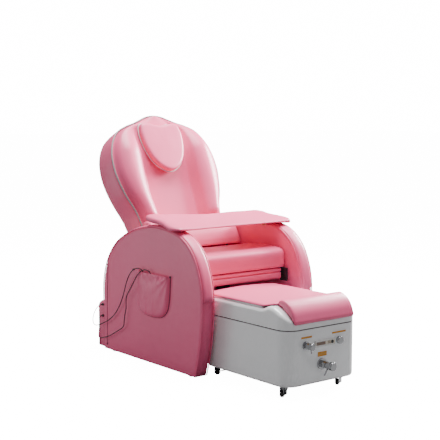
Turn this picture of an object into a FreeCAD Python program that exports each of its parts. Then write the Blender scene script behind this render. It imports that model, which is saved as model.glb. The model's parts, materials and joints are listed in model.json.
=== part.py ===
import FreeCAD, Part
import math
import os
from types import SimpleNamespace
from FreeCAD import Placement, Rotation, Vector

# Pedicure spa chair: an upholstered recliner with a foot bath that rolls out from under its seat.
# Millimetres, +Z up. The sitter faces -Y, and the sitter's right arm is on the -X side.
# Y sizes are measured from the front bottom corner of the arms, which lies datum_y from the origin.

SIZES = {
    # Chair as a whole
    "datum_y": -166.45, "gap": 0.3, "floor_clear": 8.0, "glide_radius": 18.0,
    # Arms: side outline as arcs that run into each other
    "arm_half_width": 327.5, "arm_thick": 70.0, "arm_height": 648.0, "arm_apex_y": 290.0,
    "arm_waist_z": 345.0, "arm_front_reach": 51.0, "arm_rear_reach": 749.0,
    "arm_front_radius": 358.0, "arm_shoulder_radius": 230.0, "arm_top_radius": 620.0,
    "arm_rear_radius": 304.0, "arm_foot_radius": 1080.0, "arm_pad_rise": 10.0,
    "arm_piping_radius": 2.8, "arm_piping_tail": 54.0,
    # Seat
    "seat_front": 56.0, "seat_rear": 432.0, "seat_side_gap": 7.0, "seat_low": 448.8,
    "seat_front_high": 530.0, "seat_crown": 538.0, "seat_rear_high": 508.0, "seat_corner": 18.0,
    "seat_pinch": 5.5, "deck_front": 76.0, "deck_rear": 466.0, "deck_thick": 9.0, "bracket_sheet": 3.0,
    "bracket_flange": 20.0, "bracket_rise": 40.0,
    # Leg rest that pulls out under the seat
    "legrest_low": 388.0, "legrest_seam": 421.5, "legrest_high": 435.5, "legrest_front": 58.0,
    "legrest_rear": 380.0, "legrest_half": 233.0, "rail_depth": 10.0, "rail_low": 392.0,
    "rail_high": 428.0, "rail_sheet": 2.5, "rail_front": 72.0, "rail_rear": 442.0,
    "slider_play": 0.5, "slider_front": 30.0, "slider_plate": 5.0, "slider_plate_x": 241.5,
    "slider_plate_low": 379.0, "slider_plate_high": 441.0, "slider_lap": 75.5,
    # Backrest: a frame of its own, upright here and leant back by back_recline
    "back_recline": 26.0, "back_foot_y": 481.0, "back_foot_z": 526.0, "back_depth": 150.0,
    "back_wall": 12.0, "back_rim": 4.3, "back_pad_front": -8.0, "back_low": -48.0,
    "shell_low": -28.0, "shell_rear_low": 35.0, "back_peak": 703.0, "back_half_foot": 236.0,
    "back_half_widest": 314.0, "back_widest_s": 410.0, "back_piping_radius": 3.6,
    "bolster_foot": 128.0, "bolster_rise": 46.0, "channel_half": 127.0, "channel_depth": 24.0,
    "channel_low": 75.0, "channel_bend": 300.0, "channel_high": 525.0, "channel_slope": 0.727,
    "channel_wall": 10.0, "bolster_inner": 152.0,
    "lumbar_depth": 88.0, "lumbar_high": 124.0, "lumbar_half": 246.0,
    "pillow_half": 120.0, "pillow_tip": 388.0, "pillow_top": 646.0, "pillow_thick": 30.0,
    # Backrest hinge and frame
    "hinge_depth": 42.0, "hinge_down": 42.0, "pin_radius": 8.0, "run_clear": 0.05,
    "tube": 25.0, "frame_half": 212.0, "frame_high": 600.0, "cross_low": 8.0, "cross_high": 577.0,
    "hinge_plate_in": 244.0, "hinge_plate_thick": 8.0, "hinge_plate_front": 476.0,
    "hinge_plate_high": 492.0,
    # Massage carriage in the backrest
    "rail_bar_radius": 7.0, "rail_bar_x": 75.0, "rail_bar_depth": 70.0, "rail_mount": 24.0,
    "carriage_s": 150.0, "carriage_high": 70.0, "carriage_plate": 12.0, "gear_motor": 36.0,
    "roller_radius": 21.0, "roller_width": 20.0, "roller_x": 40.0, "roller_depth": 59.0,
    "roller_shaft": 5.0, "bush_clear": 0.4,
    # Recline actuator
    "lever_length": 90.0, "recline_travel": 32.0, "eye_radius": 14.0, "eye_hole": 7.2,
    "lever_pin": 5.0, "eye_half": 8.0, "lever_plate": 8.0, "rod_radius": 7.5, "ear_thick": 8.0,
    "ear_half": 14.0, "ear_high": 34.0, "ear_pin_up": 20.0, "gearbox_half": 20.0,
    "motor_offset": 43.0, "motor_high": 150.0, "spacer_radius": 12.0, "spacer_low": 90.0,
    "spacer_high": 330.0, "spacer_back": 46.0, "washer_wide": 4.0, "frame_foot_low": 100.0,
    "frame_foot_high": 540.0,
    "housing_radius": 17.0, "housing_low": 95.0, "housing_high": 345.0, "rod_low": 160.0,
    "motor_radius": 20.0,
    # Base frame between the arms
    "base_tube": 30.0, "base_low": 20.0, "base_inset": 19.0, "base_cross_high": 380.0,
    "panel_thick": 12.0, "panel_high": 430.0,
    # Rear housing
    "housing_out": 73.0, "rear_half": 318.0, "rear_high": 242.0, "rear_wall": 12.0,
    "rear_round": 22.0, "rear_top_round": 36.0, "supply_width": 150.0, "supply_depth": 34.0,
    "supply_height": 90.0,
    # Side pocket, handsets and their cords
    "pocket_front": 186.0, "pocket_rear": 434.0, "pocket_low": 231.0, "pocket_high": 434.0,
    "pocket_hollow": 15.0, "pocket_skin": 2.5, "pocket_corner": 46.0, "hem_front": 168.0,
    "hem_rear": 484.0, "hem_height": 14.0, "rivet_radius": 5.0, "rivet_front": 176.0,
    "rivet_rear": 476.0, "handset_wide": 44.0, "handset_high": 132.0, "handset_thick": 11.0,
    "handset_low": 250.0, "handset_one_y": 378.0, "handset_two_y": 318.0, "cord_radius": 2.25,
    "relief_radius": 4.0, "relief_length": 12.0, "gland_radius": 6.5, "gland_length": 9.0,
    "gland_out": 19.0, "gland_one_z": 224.0, "gland_two_z": 168.0,
    # Tray across the arms
    "tray_slope": 7.4, "tray_half": 344.0, "tray_waist": 330.0, "tray_front": -104.0,
    "tray_rear": 170.0, "tray_dip": 46.0, "tray_thick": 21.0, "tray_corner": 22.0,
    "cleat_wide": 22.0, "cleat_high": 20.0, "cleat_gap": 6.0, "cleat_front": -20.0,
    "cleat_rear": 110.0,
    # Foot bath
    "tub_shift": -33.0, "tub_half": 208.5, "tub_front": -507.0, "tub_rear": 40.0,
    "tub_corner": 66.0, "tub_rear_corner": 40.0, "tub_low": 45.0, "tub_seam": 286.0,
    "tub_top": 361.0, "tub_wall": 5.0, "tub_foot_round": 14.0, "seam_high": 4.0, "seam_deep": 3.0,
    "nose_start": -340.0, "nose_crest_y": -404.0, "nose_crest_z": 375.0, "nose_brow_y": -471.0,
    "nose_brow_z": 343.0, "nose_end_z": 300.0, "nose_round": 16.0,
    "bowl_half": 166.0, "bowl_front": -328.0, "bowl_rear": 8.0, "bowl_low": 106.0, "bowl_wall": 6.0,
    "bowl_corner": 60.0, "drain_radius": 19.0, "hose_hole": 8.0,
    "chassis_low": 47.0, "chassis_thick": 8.0, "post_side": 18.0, "post_left": -150.0,
    "post_right": 120.0, "post_front": -120.0, "post_rear": -30.0,
    "pump_radius": 34.0, "pump_length": 110.0, "pump_x": -173.0, "pump_y": -440.0, "pump_lift": 8.3,
    "cradle_half": 20.0, "cradle_high": 30.0,
    # Foot bath cover
    "cover_board": 5.0, "cover_inset": 12.0, "cover_pad_inset": 7.0, "cover_edge": 377.0,
    "cover_crown": 387.0, "cover_front": -404.0, "cover_step": -362.0, "cover_round": 7.0,
    "roll_half": 170.0, "roll_high": 402.0, "roll_front": -515.0, "roll_low": 312.0, "roll_pinch": 4.0,
    # Controls on the front of the foot bath
    "tap_x": -138.0, "tap_z": 217.0, "tap_flange": 18.0, "tap_boss": 11.0, "tap_knob": 13.5,
    "tap_reach": 47.0, "waste_x": -47.0, "waste_z": 128.0, "waste_flange": 24.0,
    "waste_boss": 15.0, "waste_knob": 18.0, "waste_reach": 75.0, "air_x": 53.0, "air_z": 216.0,
    "air_radius": 16.0, "air_reach": 16.0, "panel_low_x": -86.0, "panel_high_x": 26.0,
    "panel_low_z": 202.0, "panel_high_z": 229.0, "panel_thick_y": 6.0, "button_travel": 1.5,
    "button_radius": 7.0, "button_inset": 16.0, "well_clear": 0.5, "panel_floor": 1.5,
    "spindle_radius": 7.5, "spindle_in": 22.0, "label_thick": 1.0,
    # Casters of the foot bath
    "caster_x": 159.0, "caster_front": -440.0, "caster_rear": 10.0, "wheel_radius": 14.0,
    "wheel_width": 13.0, "caster_trail_x": -20.0, "caster_trail_y": -9.0, "axle_radius": 2.5,
    "fork_sheet": 2.0, "fork_side_gap": 1.0, "stem_radius": 6.0,
}
D = SimpleNamespace(**SIZES)

doc = FreeCAD.newDocument("pedicure_chair")
sheet = doc.addObject("Spreadsheet::Sheet", "D")
for line_number, (alias, value) in enumerate(SIZES.items(), start=1):
    sheet.set(f"A{line_number}", alias)
    sheet.set(f"B{line_number}", str(value))
    sheet.setAlias(f"B{line_number}", alias)
doc.recompute()

nodes = []
CHAIR = ("D.datum_y", "0", None)
BACK = ("D.datum_y + D.back_foot_y", "D.back_foot_z", "D.back_recline")
BASE_REAR = "(D.arm_rear_reach - D.base_inset)"


# Building helpers


def block(name, across, along, up):
    """A box between two formulas on each axis."""
    box = doc.addObject("Part::Box", name)
    spans = zip(("Length", "Width", "Height"), "xyz", (across, along, up))
    for side, axis, (low, high) in spans:
        box.setExpression(side, f"({high}) - ({low})")
        box.setExpression(f"Placement.Base.{axis}", low)
    return box


def rod(name, axis, radius, span, centre):
    """A cylinder along X, Y or Z between two formulas, centred on the other two axes."""
    turns = {"x": Rotation(Vector(0, 1, 0), 90), "y": Rotation(Vector(1, 0, 0), -90), "z": Rotation()}
    cylinder = doc.addObject("Part::Cylinder", name)
    cylinder.Placement = Placement(Vector(), turns[axis])
    cylinder.setExpression("Radius", radius)
    cylinder.setExpression("Height", f"({span[1]}) - ({span[0]})")
    others = [letter for letter in "xyz" if letter != axis]
    cylinder.setExpression(f"Placement.Base.{axis}", span[0])
    for letter, formula in zip(others, centre):
        cylinder.setExpression(f"Placement.Base.{letter}", formula)
    return cylinder


def fuse(name, pieces):
    joined = doc.addObject("Part::MultiFuse", name)
    joined.Shapes = pieces
    joined.Refine = True
    return joined


def cut(name, base, tools):
    """The base with the tools taken out of it."""
    tool = tools[0] if len(tools) == 1 else fuse(name + "_tools", tools)
    rest = doc.addObject("Part::Cut", name)
    rest.Base = base
    rest.Tool = tool
    return rest


def mirrored(name, piece):
    """The same piece on the other side of the chair's middle plane."""
    twin = doc.addObject("Part::Mirroring", name)
    twin.Source = piece
    twin.Normal = Vector(1, 0, 0)
    return twin


def group(name, pieces):
    """Separate solids that make one sub-part."""
    bunch = doc.addObject("Part::Compound", name)
    bunch.Links = pieces
    return bunch


def formed(name, shape):
    """A shape made by Part's own functions."""
    feature = doc.addObject("Part::Feature", name)
    feature.Shape = shape
    return feature


def rounded(name, base, radius, wanted):
    """The base with the edges that wanted() picks rounded to the radius."""
    doc.recompute()
    picked = [n for n, edge in enumerate(base.Shape.Edges, start=1) if wanted(edge)]
    smooth = doc.addObject("Part::Fillet", name)
    smooth.Base = base
    smooth.Edges = [(n, radius, radius) for n in picked]
    return smooth


def sub_part(label, piece, frame=CHAIR):
    """Names the piece, puts it in its frame and lists it for export."""
    if piece.TypeId in ("Part::Box", "Part::Cylinder"):
        piece = group(label + "_set", [piece])
    shift_y, shift_z, lean = frame
    if lean:
        piece.Placement = Placement(Vector(), Rotation(Vector(-1, 0, 0), 0))
        piece.setExpression("Placement.Rotation.Angle", lean)
    piece.setExpression("Placement.Base.y", shift_y)
    piece.setExpression("Placement.Base.z", shift_z)
    piece.Label = label
    nodes.append(piece)
    return piece


def unit(vector):
    return vector * (1 / vector.Length)


def bend(start, corner, end):
    """The arc that leaves start and reaches end along the two lines through corner."""
    middle = (start + end) * 0.5
    half = (end - start).Length / 2
    rise = (corner - middle).Length
    if rise < 1e-6 * half:
        return Part.LineSegment(start, end).toShape()
    top = middle + unit(corner - middle) * (half * math.tan(math.atan2(rise, half) / 2))
    return Part.Arc(start, top, end).toShape()


def biarc(start, leave, end, arrive):
    """Two arcs from start to end that leave and arrive along the given directions."""
    chord = end - start
    a = 2 * (1 - leave.dot(arrive))
    b = 2 * chord.dot(leave + arrive)
    c = -chord.dot(chord)
    reach = -c / b if a < 1e-9 else (math.sqrt(b * b - 4 * a * c) - b) / (2 * a)
    first = start + leave * reach
    second = end - arrive * reach
    joint = (first + second) * 0.5
    return [bend(start, first, joint), bend(joint, second, end)]


def directions(points, first=None, last=None):
    """The direction of a smooth line at each of its points."""
    runs = [b - a for a, b in zip(points, points[1:])]
    inner = [unit(unit(a) * b.Length + unit(b) * a.Length) for a, b in zip(runs, runs[1:])]

    def mirror_of(run, way):
        along = unit(run)
        return along * (2 * along.dot(way)) - way

    start = first or mirror_of(runs[0], inner[0])
    end = last or mirror_of(runs[-1], inner[-1])
    return [start, *inner, end]


def smooth_edges(points, first=None, last=None):
    """Arcs that run into each other through all the points."""
    ways = directions(points, first, last)
    edges = []
    for index in range(len(points) - 1):
        edges += biarc(points[index], ways[index], points[index + 1], ways[index + 1])
    return edges


def wire_of(edges):
    return Part.Wire(Part.__sortEdges__(edges))


def line(start, end):
    return Part.LineSegment(start, end).toShape()


def arc(start, middle, end):
    return Part.Arc(start, middle, end).toShape()


def prism(wire, way):
    return Part.Face(wire).extrude(way)


def tube_along(edges, radius):
    """A round solid swept along edges that run into each other."""
    path = Part.Wire(edges)
    start = path.Edges[0]
    first = start.valueAt(start.FirstParameter)
    way = start.tangentAt(start.FirstParameter)
    if start.Orientation == "Reversed":
        first = start.valueAt(start.LastParameter)
        way = start.tangentAt(start.LastParameter) * -1
    ring = Part.Wire(Part.Circle(first, way, radius).toShape())
    solid = path.makePipeShell([ring], True, False)
    expected = math.pi * radius ** 2 * path.Length
    if abs(solid.Volume / expected - 1) > 0.02:
        raise ValueError(f"swept volume {solid.Volume:.0f} is not the expected {expected:.0f}")
    return solid


def loft(wires):
    return Part.makeLoft(wires, True, False)


def cushion_slices(section, half, pinch, centre=0.0):
    """A cushion lofted from slices across its width; each end is drawn in by pinch, in a quarter round."""
    near_end = [(0.0, 1.0), (0.12, 0.55), (0.35, 0.24), (0.7, 0.06), (1.2, 0.0), (3.0, 0.0)]
    depth = 4 * pinch
    left = [(-half + reach * depth, pinch * share) for reach, share in near_end]
    right = [(-x, drawn) for x, drawn in reversed(left)]
    return loft([section(centre + x, drawn) for x, drawn in [*left, (0.0, 0.0), *right]])


def body_of(name):
    return doc.addObject("PartDesign::Body", name)


def sketch_on(body, name, role, edges):
    """A sketch on one of the body's own origin planes, drawn with the given curves."""
    plane = next(item for item in body.Origin.OriginFeatures if item.Role == role)
    drawing = body.newObject("Sketcher::SketchObject", name)
    drawing.AttachmentSupport = [(plane, "")]
    drawing.MapMode = "FlatFace"
    for curve in edges:
        drawing.addGeometry(curve, False)
    return drawing


def pad(body, name, drawing, length):
    feature = body.newObject("PartDesign::Pad", name)
    feature.Profile = drawing
    feature.setExpression("Length", length)
    return feature


# Arms


def arm_circles():
    """Centre and radius of the front, shoulder, top and rear arcs of an arm's side, as (y, z, r)."""
    top = Vector(0, D.arm_apex_y, D.arm_height - D.arm_top_radius)
    front = Vector(0, D.arm_front_radius - D.arm_front_reach, D.arm_waist_z)
    to_top = D.arm_top_radius - D.arm_shoulder_radius
    to_front = D.arm_front_radius - D.arm_shoulder_radius
    span = (front - top).Length
    along = (to_top ** 2 - to_front ** 2 + span ** 2) / (2 * span)
    aside = math.sqrt(to_top ** 2 - along ** 2)
    ahead = unit(front - top)
    shoulder = top + ahead * along + Vector(0, -ahead.z, ahead.y) * aside
    rear_y = D.arm_rear_reach - D.arm_rear_radius
    rise = math.sqrt((D.arm_top_radius - D.arm_rear_radius) ** 2 - (rear_y - top.y) ** 2)
    rear = Vector(0, rear_y, top.z + rise)
    return front, shoulder, top, rear


def arm_arch(grow=0.0):
    """The arch from the front waist over the top to the rear, grown outwards by grow."""
    front, shoulder, top, rear = arm_circles()
    radii = [D.arm_front_radius, D.arm_shoulder_radius, D.arm_top_radius, D.arm_rear_radius]
    stops = [
        Vector(0, -1, 0),
        unit(shoulder - front),
        unit(shoulder - top),
        unit(rear - top),
        Vector(0, 1, 0),
    ]
    edges = []
    centres = (front, shoulder, top, rear)
    for centre, radius, begin, finish in zip(centres, radii, stops, stops[1:]):
        reach = radius + grow
        middle = unit(begin + finish)
        edges.append(Part.Arc(centre + begin * reach, centre + middle * reach, centre + finish * reach))
    return edges


def arm_foot(grow=0.0, low=None):
    """The front edge below the waist, from the foot up."""
    low = D.floor_clear if low is None else low
    centre_y = D.arm_foot_radius - D.arm_front_reach
    reach = D.arm_foot_radius + grow

    def at(height):
        return Vector(0, centre_y - math.sqrt(reach ** 2 - (D.arm_waist_z - height) ** 2), height)

    return Part.Arc(at(low), at((low + D.arm_waist_z) / 2), at(D.arm_waist_z))


def flat_in_sketch(curve):
    """A curve of the YZ plane in a sketch's own x and y."""
    turn = FreeCAD.Matrix(0, 1, 0, 0, 0, 0, 1, 0, 1, 0, 0, 0, 0, 0, 0, 1)
    moved = curve.copy()
    moved.transform(turn)
    return moved


def arm_core(name, side_formula):
    foot = arm_foot()
    arch = arm_arch()
    rear_top = arch[-1].EndPoint
    rear_foot = Vector(0, rear_top.y, D.floor_clear)
    outline = [foot, *arch, Part.LineSegment(rear_top, rear_foot)]
    outline.append(Part.LineSegment(rear_foot, foot.StartPoint))
    body = body_of(name)
    curves = [flat_in_sketch(curve) for curve in outline]
    drawing = sketch_on(body, name + "_side", "YZ_Plane", curves)
    pad(body, name + "_pad", drawing, "D.arm_thick")
    body.setExpression("Placement.Base.x", side_formula)
    return sub_part(name, body)


def arm_pad_shape(side_x):
    """The padded band over the arch, rounded across its width."""
    outer = [curve.toShape() for curve in arm_arch(D.arm_pad_rise)]
    inner = [curve.toShape() for curve in arm_arch(0)]
    ends = [
        line(arm_arch(0)[0].StartPoint, arm_arch(D.arm_pad_rise)[0].StartPoint),
        line(arm_arch(0)[-1].EndPoint, arm_arch(D.arm_pad_rise)[-1].EndPoint),
    ]
    margin = 4 * D.arm_piping_radius / 2 + D.gap
    wide = D.arm_thick - 2 * margin
    band = prism(wire_of(outer + inner + ends), Vector(wide, 0, 0))
    radii = [D.arm_front_radius, D.arm_shoulder_radius, D.arm_top_radius, D.arm_rear_radius]
    grown = [radius + D.arm_pad_rise for radius in radii]

    def is_outer(edge):
        curve = edge.Curve
        return isinstance(curve, Part.Circle) and min(abs(curve.Radius - r) for r in grown) < 0.01

    rim = [edge for edge in band.Edges if is_outer(edge)]
    soft = band.makeFillet(D.arm_pad_rise - 1, rim)
    soft.translate(Vector(side_x + margin, 0, 0))
    return soft


def arm_piping_path(x):
    """The line of a piping beside the band, from the front foot to the rear."""
    grow = D.arm_piping_radius
    start = D.floor_clear + D.arm_piping_radius
    arch = arm_arch(grow)
    rear = arch[-1].EndPoint
    tail = Part.LineSegment(rear, rear - Vector(0, 0, D.arm_piping_tail))
    edges = [curve.toShape() for curve in [arm_foot(grow, start), *arch, tail]]
    for edge in edges:
        edge.translate(Vector(x, 0, 0))
    return edges


def make_arms():
    arm_core("arm_core_right", "-D.arm_half_width")
    arm_core("arm_core_left", "D.arm_half_width - D.arm_thick")
    sub_part("arm_pad_right", formed("band_right", arm_pad_shape(-D.arm_half_width)))
    sub_part("arm_pad_left", formed("band_left", arm_pad_shape(D.arm_half_width - D.arm_thick)))
    outer = D.arm_half_width - D.arm_piping_radius
    inner = D.arm_half_width - D.arm_thick + D.arm_piping_radius
    pipes = [tube_along(arm_piping_path(x), D.arm_piping_radius) for x in (-outer, -inner, inner, outer)]
    sub_part("arm_piping", formed("piping_runs", Part.makeCompound(pipes)))
    glides = []
    inset = "(D.arm_half_width - D.arm_thick / 2)"
    spots = [(f"{side}{inset}", along) for side in ("-", "") for along in ("60", "D.arm_rear_reach - 60")]
    for number, spot in enumerate(spots):
        glides.append(rod(f"glide_{number}", "z", "D.glide_radius", ("0", "D.floor_clear"), spot))
    sub_part("floor_glides", group("glide_set", glides))


# Seat, deck and leg rest


def seat_section(x, pinch):
    """One slice of the seat cushion: flat below and in front, with a crowned top."""
    front = D.seat_front + pinch
    high = D.seat_front_high - pinch
    corner = D.seat_corner
    turn = corner * (1 - math.sqrt(0.5))
    low_front = Vector(x, front, D.seat_low)
    brow = Vector(x, front, high - corner)
    shoulder = Vector(x, front + turn, high - turn)
    high_front = Vector(x, front + corner, high)
    crown = Vector(x, (front + D.seat_rear) / 2 - 20, D.seat_crown - pinch)
    rear_high = Vector(x, D.seat_rear, D.seat_rear_high - pinch)
    rear_low = Vector(x, D.seat_rear, D.seat_low)
    edges = [
        line(low_front, brow),
        arc(brow, shoulder, high_front),
        arc(high_front, crown, rear_high),
        line(rear_high, rear_low),
        line(rear_low, low_front),
    ]
    return Part.Wire(edges)


def make_seat():
    half = D.arm_half_width - D.arm_thick - D.seat_side_gap
    sub_part("seat_cushion", formed("seat_form", cushion_slices(seat_section, half, D.seat_pinch)))
    inner = "(D.arm_half_width - D.arm_thick)"
    deck_low = "D.seat_low - D.gap - D.deck_thick"
    deck_half = f"({inner} - D.bracket_sheet - 2 * D.gap)"
    deck = body_of("deck_body")
    size = Vector(2 * (D.arm_half_width - D.arm_thick - D.bracket_sheet - 2 * D.gap), 0, 0)
    depth = Vector(0, D.deck_rear - D.deck_front, 0)
    corners = [Vector(), size, size + depth, depth]
    sides = [Part.LineSegment(a, b) for a, b in zip(corners, corners[1:] + corners[:1])]
    drawing = sketch_on(deck, "deck_outline", "XY_Plane", sides)
    pad(deck, "deck_pad", drawing, "D.deck_thick")
    deck.setExpression("Placement.Base.x", f"-{deck_half}")
    sub_part("seat_deck", deck, ("D.datum_y + D.deck_front", deck_low, None))
    brackets = []
    top = f"({deck_low} - D.gap)"
    for side in ("left", "right"):
        outer = f"{inner} - D.gap"
        flange = block(
            f"bracket_flange_{side}",
            (f"{outer} - D.bracket_flange", outer),
            ("D.deck_front", "D.deck_rear"),
            (f"{top} - D.bracket_sheet", top),
        )
        web = block(
            f"bracket_web_{side}",
            (f"{outer} - D.bracket_sheet", outer),
            ("D.deck_front", "D.deck_rear"),
            (f"{top} - D.bracket_sheet", f"{top} + D.bracket_rise"),
        )
        angle = fuse(f"bracket_{side}", [flange, web])
        brackets.append(angle if side == "left" else mirrored("bracket_mirror", angle))
    sub_part("seat_brackets", group("bracket_set", brackets))


def make_legrest():
    half = "D.legrest_half"
    along = ("D.legrest_front", "D.legrest_rear")
    lower = block("rest_board", (f"-{half}", half), along, ("D.legrest_low", "D.legrest_seam"))
    upper = block(
        "rest_top", (f"-{half}", half), along, ("D.legrest_seam + D.gap", "D.legrest_high")
    )

    def front_edges(edge):
        box = edge.BoundBox
        return box.XLength > 100 and box.YMax < D.legrest_front + 1

    sub_part("legrest_board", rounded("rest_board_soft", lower, 9.0, front_edges))
    sub_part("legrest_pad", rounded("rest_top_soft", upper, 5.5, front_edges))
    inner = "(D.arm_half_width - D.arm_thick - D.gap)"
    rails, sliders = [], []
    for side in ("left", "right"):
        outside = block(
            f"rail_body_{side}",
            (f"{inner} - D.rail_depth", inner),
            ("D.rail_front", "D.rail_rear"),
            ("D.rail_low", "D.rail_high"),
        )
        hollow = block(
            f"rail_hollow_{side}",
            (f"{inner} - D.rail_depth - 1", f"{inner} - D.rail_sheet"),
            ("D.rail_front - 1", "D.rail_rear + 1"),
            ("D.rail_low + D.rail_sheet", "D.rail_high - D.rail_sheet"),
        )
        rail = cut(f"rail_{side}", outside, [hollow])
        play = "(D.rail_sheet + D.slider_play)"
        bar = block(
            f"slider_bar_{side}",
            ("D.legrest_half + D.gap", f"{inner} - {play}"),
            ("D.rail_front", "D.legrest_rear + 20"),
            (f"D.rail_low + {play}", f"D.rail_high - {play}"),
        )
        plate = block(
            f"slider_plate_{side}",
            ("D.slider_plate_x", "D.slider_plate_x + D.slider_plate"),
            ("D.slider_front", "D.slider_lap"),
            ("D.slider_plate_low", "D.slider_plate_high"),
        )
        slider = fuse(f"slider_{side}", [bar, plate])
        if side == "right":
            rail = mirrored("rail_mirror", rail)
            slider = mirrored("slider_mirror", slider)
        rails.append(rail)
        sliders.append(slider)
    sub_part("legrest_rails", group("rail_set", rails))
    sub_part("legrest_sliders", group("slider_set", sliders))


# Backrest, modelled upright: X across, Y into its depth, Z up along its slope


def back_points(inset):
    """The right half of the backrest's outline from the foot to the peak, drawn in by inset."""
    foot, widest, peak = D.back_half_foot, D.back_half_widest, D.back_peak
    wide = widest - foot
    half = [
        (foot, D.back_low),
        (foot + 0.06 * wide, 60),
        (foot + 0.22 * wide, 172),
        (foot + 0.77 * wide, 300),
        (widest, D.back_widest_s),
        (widest - 9, 500),
        (widest - 37, 569),
        (widest - 76, 616),
        (widest - 130, peak - 58.5),
        (widest - 185, peak - 40),
        (86, peak - 22),
        (50, peak - 7.5),
        (0, peak),
    ]
    points = [Vector(x, 0, s) for x, s in half]
    ways = directions(points, Vector(0, 0, 1), Vector(-1, 0, 0))
    return [p - Vector(w.z, 0, -w.x) * inset for p, w in zip(points, ways)]


def back_side_edges(inset, low):
    """Both sides and the peak of the outline, down to the height low."""
    right = back_points(inset)
    above = [point for point in right if point.z > low + 20]
    right = [Vector(right[0].x, 0, low), *above]
    up = smooth_edges(right, Vector(0, 0, 1), Vector(-1, 0, 0))
    left = [Vector(-point.x, 0, point.z) for point in reversed(right)]
    down = smooth_edges(left, Vector(-1, 0, 0), Vector(0, 0, -1))
    return up + down, right[0], left[-1]


def back_plate(inset, low, front, rear):
    """A plate of the backrest's outline between two depths."""
    edges, first, last = back_side_edges(inset, low)
    plate = prism(Part.Wire([*edges, line(last, first)]), Vector(0, rear - front, 0))
    plate.translate(Vector(0, front, 0))
    return plate


def half_width(height):
    """Half the backrest's width at a height, between the outline's own points."""
    points = back_points(0)
    for low, high in zip(points, points[1:]):
        if low.z <= height <= high.z:
            share = (height - low.z) / (high.z - low.z)
            return low.x + share * (high.x - low.x)
    return 0.0


def make_back_shell():
    outer = back_plate(0, D.shell_low, D.back_rim, D.back_depth)
    inner = back_plate(D.back_wall, D.shell_low - 5, D.back_rim - 1, D.back_depth - D.back_wall)

    def rear_edges(edge):
        box = edge.BoundBox
        return box.YMin > D.back_depth - 0.01 and box.ZMax > D.shell_low + 1

    rear = [edge for edge in outer.Edges if rear_edges(edge)]
    soft = outer.makeFillet(2 * D.back_wall, rear)
    notch = Part.makeBox(800, D.back_depth, D.shell_rear_low + 200)
    notch.translate(Vector(-400, D.back_depth - 2.6 * D.back_wall, -200))
    shell = soft.cut(inner).cut(notch)
    sub_part("back_shell", formed("shell_form", shell), BACK)


def channel_floor(height):
    """Depth of the middle channel's floor: level low down, rising to the front board above."""
    share = (height - D.channel_bend) / (D.channel_high - D.channel_bend)
    share = max(0.0, min(1.0, share))
    return D.channel_depth + (D.back_pad_front - D.channel_depth) * share ** 2 * (3 - 2 * share)


def channel_block(low, near, wall):
    """A block with sloping sides from the depth near to the channel's floor, thickened by wall."""
    slices = []
    rising = [D.channel_bend + (D.channel_high - D.channel_bend) * part / 6 for part in range(7)]
    for height in (low, *rising):
        floor = channel_floor(height)
        half = D.channel_half + wall
        wide = half + D.channel_slope * (floor - near)
        corners = [(-wide, near), (wide, near), (half, floor + wall), (-half, floor + wall)]
        points = [Vector(x, depth, height) for x, depth in corners]
        slices.append(Part.makePolygon([*points, points[0]]))
    return Part.makeLoft(slices, True, True)


def make_front_pad():
    """The upholstered front board with the deep channel down its middle."""
    edge_gap = 2 * D.back_piping_radius + D.gap
    board = back_plate(edge_gap, D.back_low, D.back_pad_front, D.back_rim - D.gap)
    wall = D.channel_wall
    trough = channel_block(D.channel_low - wall, D.back_pad_front + 2, wall)
    hollow = channel_block(D.channel_low, D.back_pad_front - wall, 0)
    pad_form = board.fuse(trough).cut(hollow).removeSplitter()
    sub_part("back_front_pad", formed("front_pad_form", pad_form), BACK)


def bolster_section(height, rise, inner):
    """One slice of a bolster: a flat back and an arched front."""
    base = D.back_pad_front - D.gap
    outer = half_width(height) - 2 * D.back_piping_radius - 4
    near = Vector(inner, base, height)
    far = Vector(outer, base, height)
    crest = Vector((inner + outer) / 2, base - rise, height)
    return Part.Wire([arc(near, crest, far), line(far, near)])


def make_bolsters():
    rise, inner = D.bolster_rise, D.bolster_inner
    stations = [
        (D.bolster_foot, 0.86 * rise, inner),
        (250, rise, inner),
        (400, rise, inner - 6),
        (500, 0.9 * rise, inner - 14),
        (570, 0.62 * rise, inner - 10),
        (620, 0.2 * rise, inner + 10),
    ]
    right = loft([bolster_section(*station) for station in stations])
    left = right.mirror(Vector(), Vector(1, 0, 0))
    sub_part("back_bolsters", formed("bolster_form", Part.makeCompound([left, right])), BACK)


def make_back_piping():
    inset = D.back_piping_radius + D.gap / 2
    edges, _, _ = back_side_edges(inset, D.back_low)
    pipe = tube_along(edges, D.back_piping_radius)
    sub_part("back_piping", formed("back_piping_run", pipe), BACK)


def lumbar_section(x, pinch):
    """One slice of the lumbar cushion; its underside lies level with the seat."""
    rear = D.back_pad_front - D.gap
    front = rear - D.lumbar_depth + pinch
    slope = math.tan(math.radians(D.back_recline))
    low_rear = Vector(x, rear, rear * slope + pinch)
    low_front = Vector(x, front, front * slope + pinch)
    belly = Vector(x, front - 5 + pinch / 2, 30)
    high_front = Vector(x, front + 34, D.lumbar_high - 16 - pinch)
    brow = Vector(x, front + 62, D.lumbar_high - 2 - pinch)
    high_rear = Vector(x, rear, D.lumbar_high - pinch)
    edges = [
        arc(low_front, belly, high_front),
        arc(high_front, brow, high_rear),
        line(high_rear, low_rear),
        line(low_rear, low_front),
    ]
    return Part.Wire(edges)


def make_lumbar():
    cushion = cushion_slices(lumbar_section, D.lumbar_half, D.seat_pinch)
    sub_part("lumbar_cushion", formed("lumbar_form", cushion), BACK)


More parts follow.
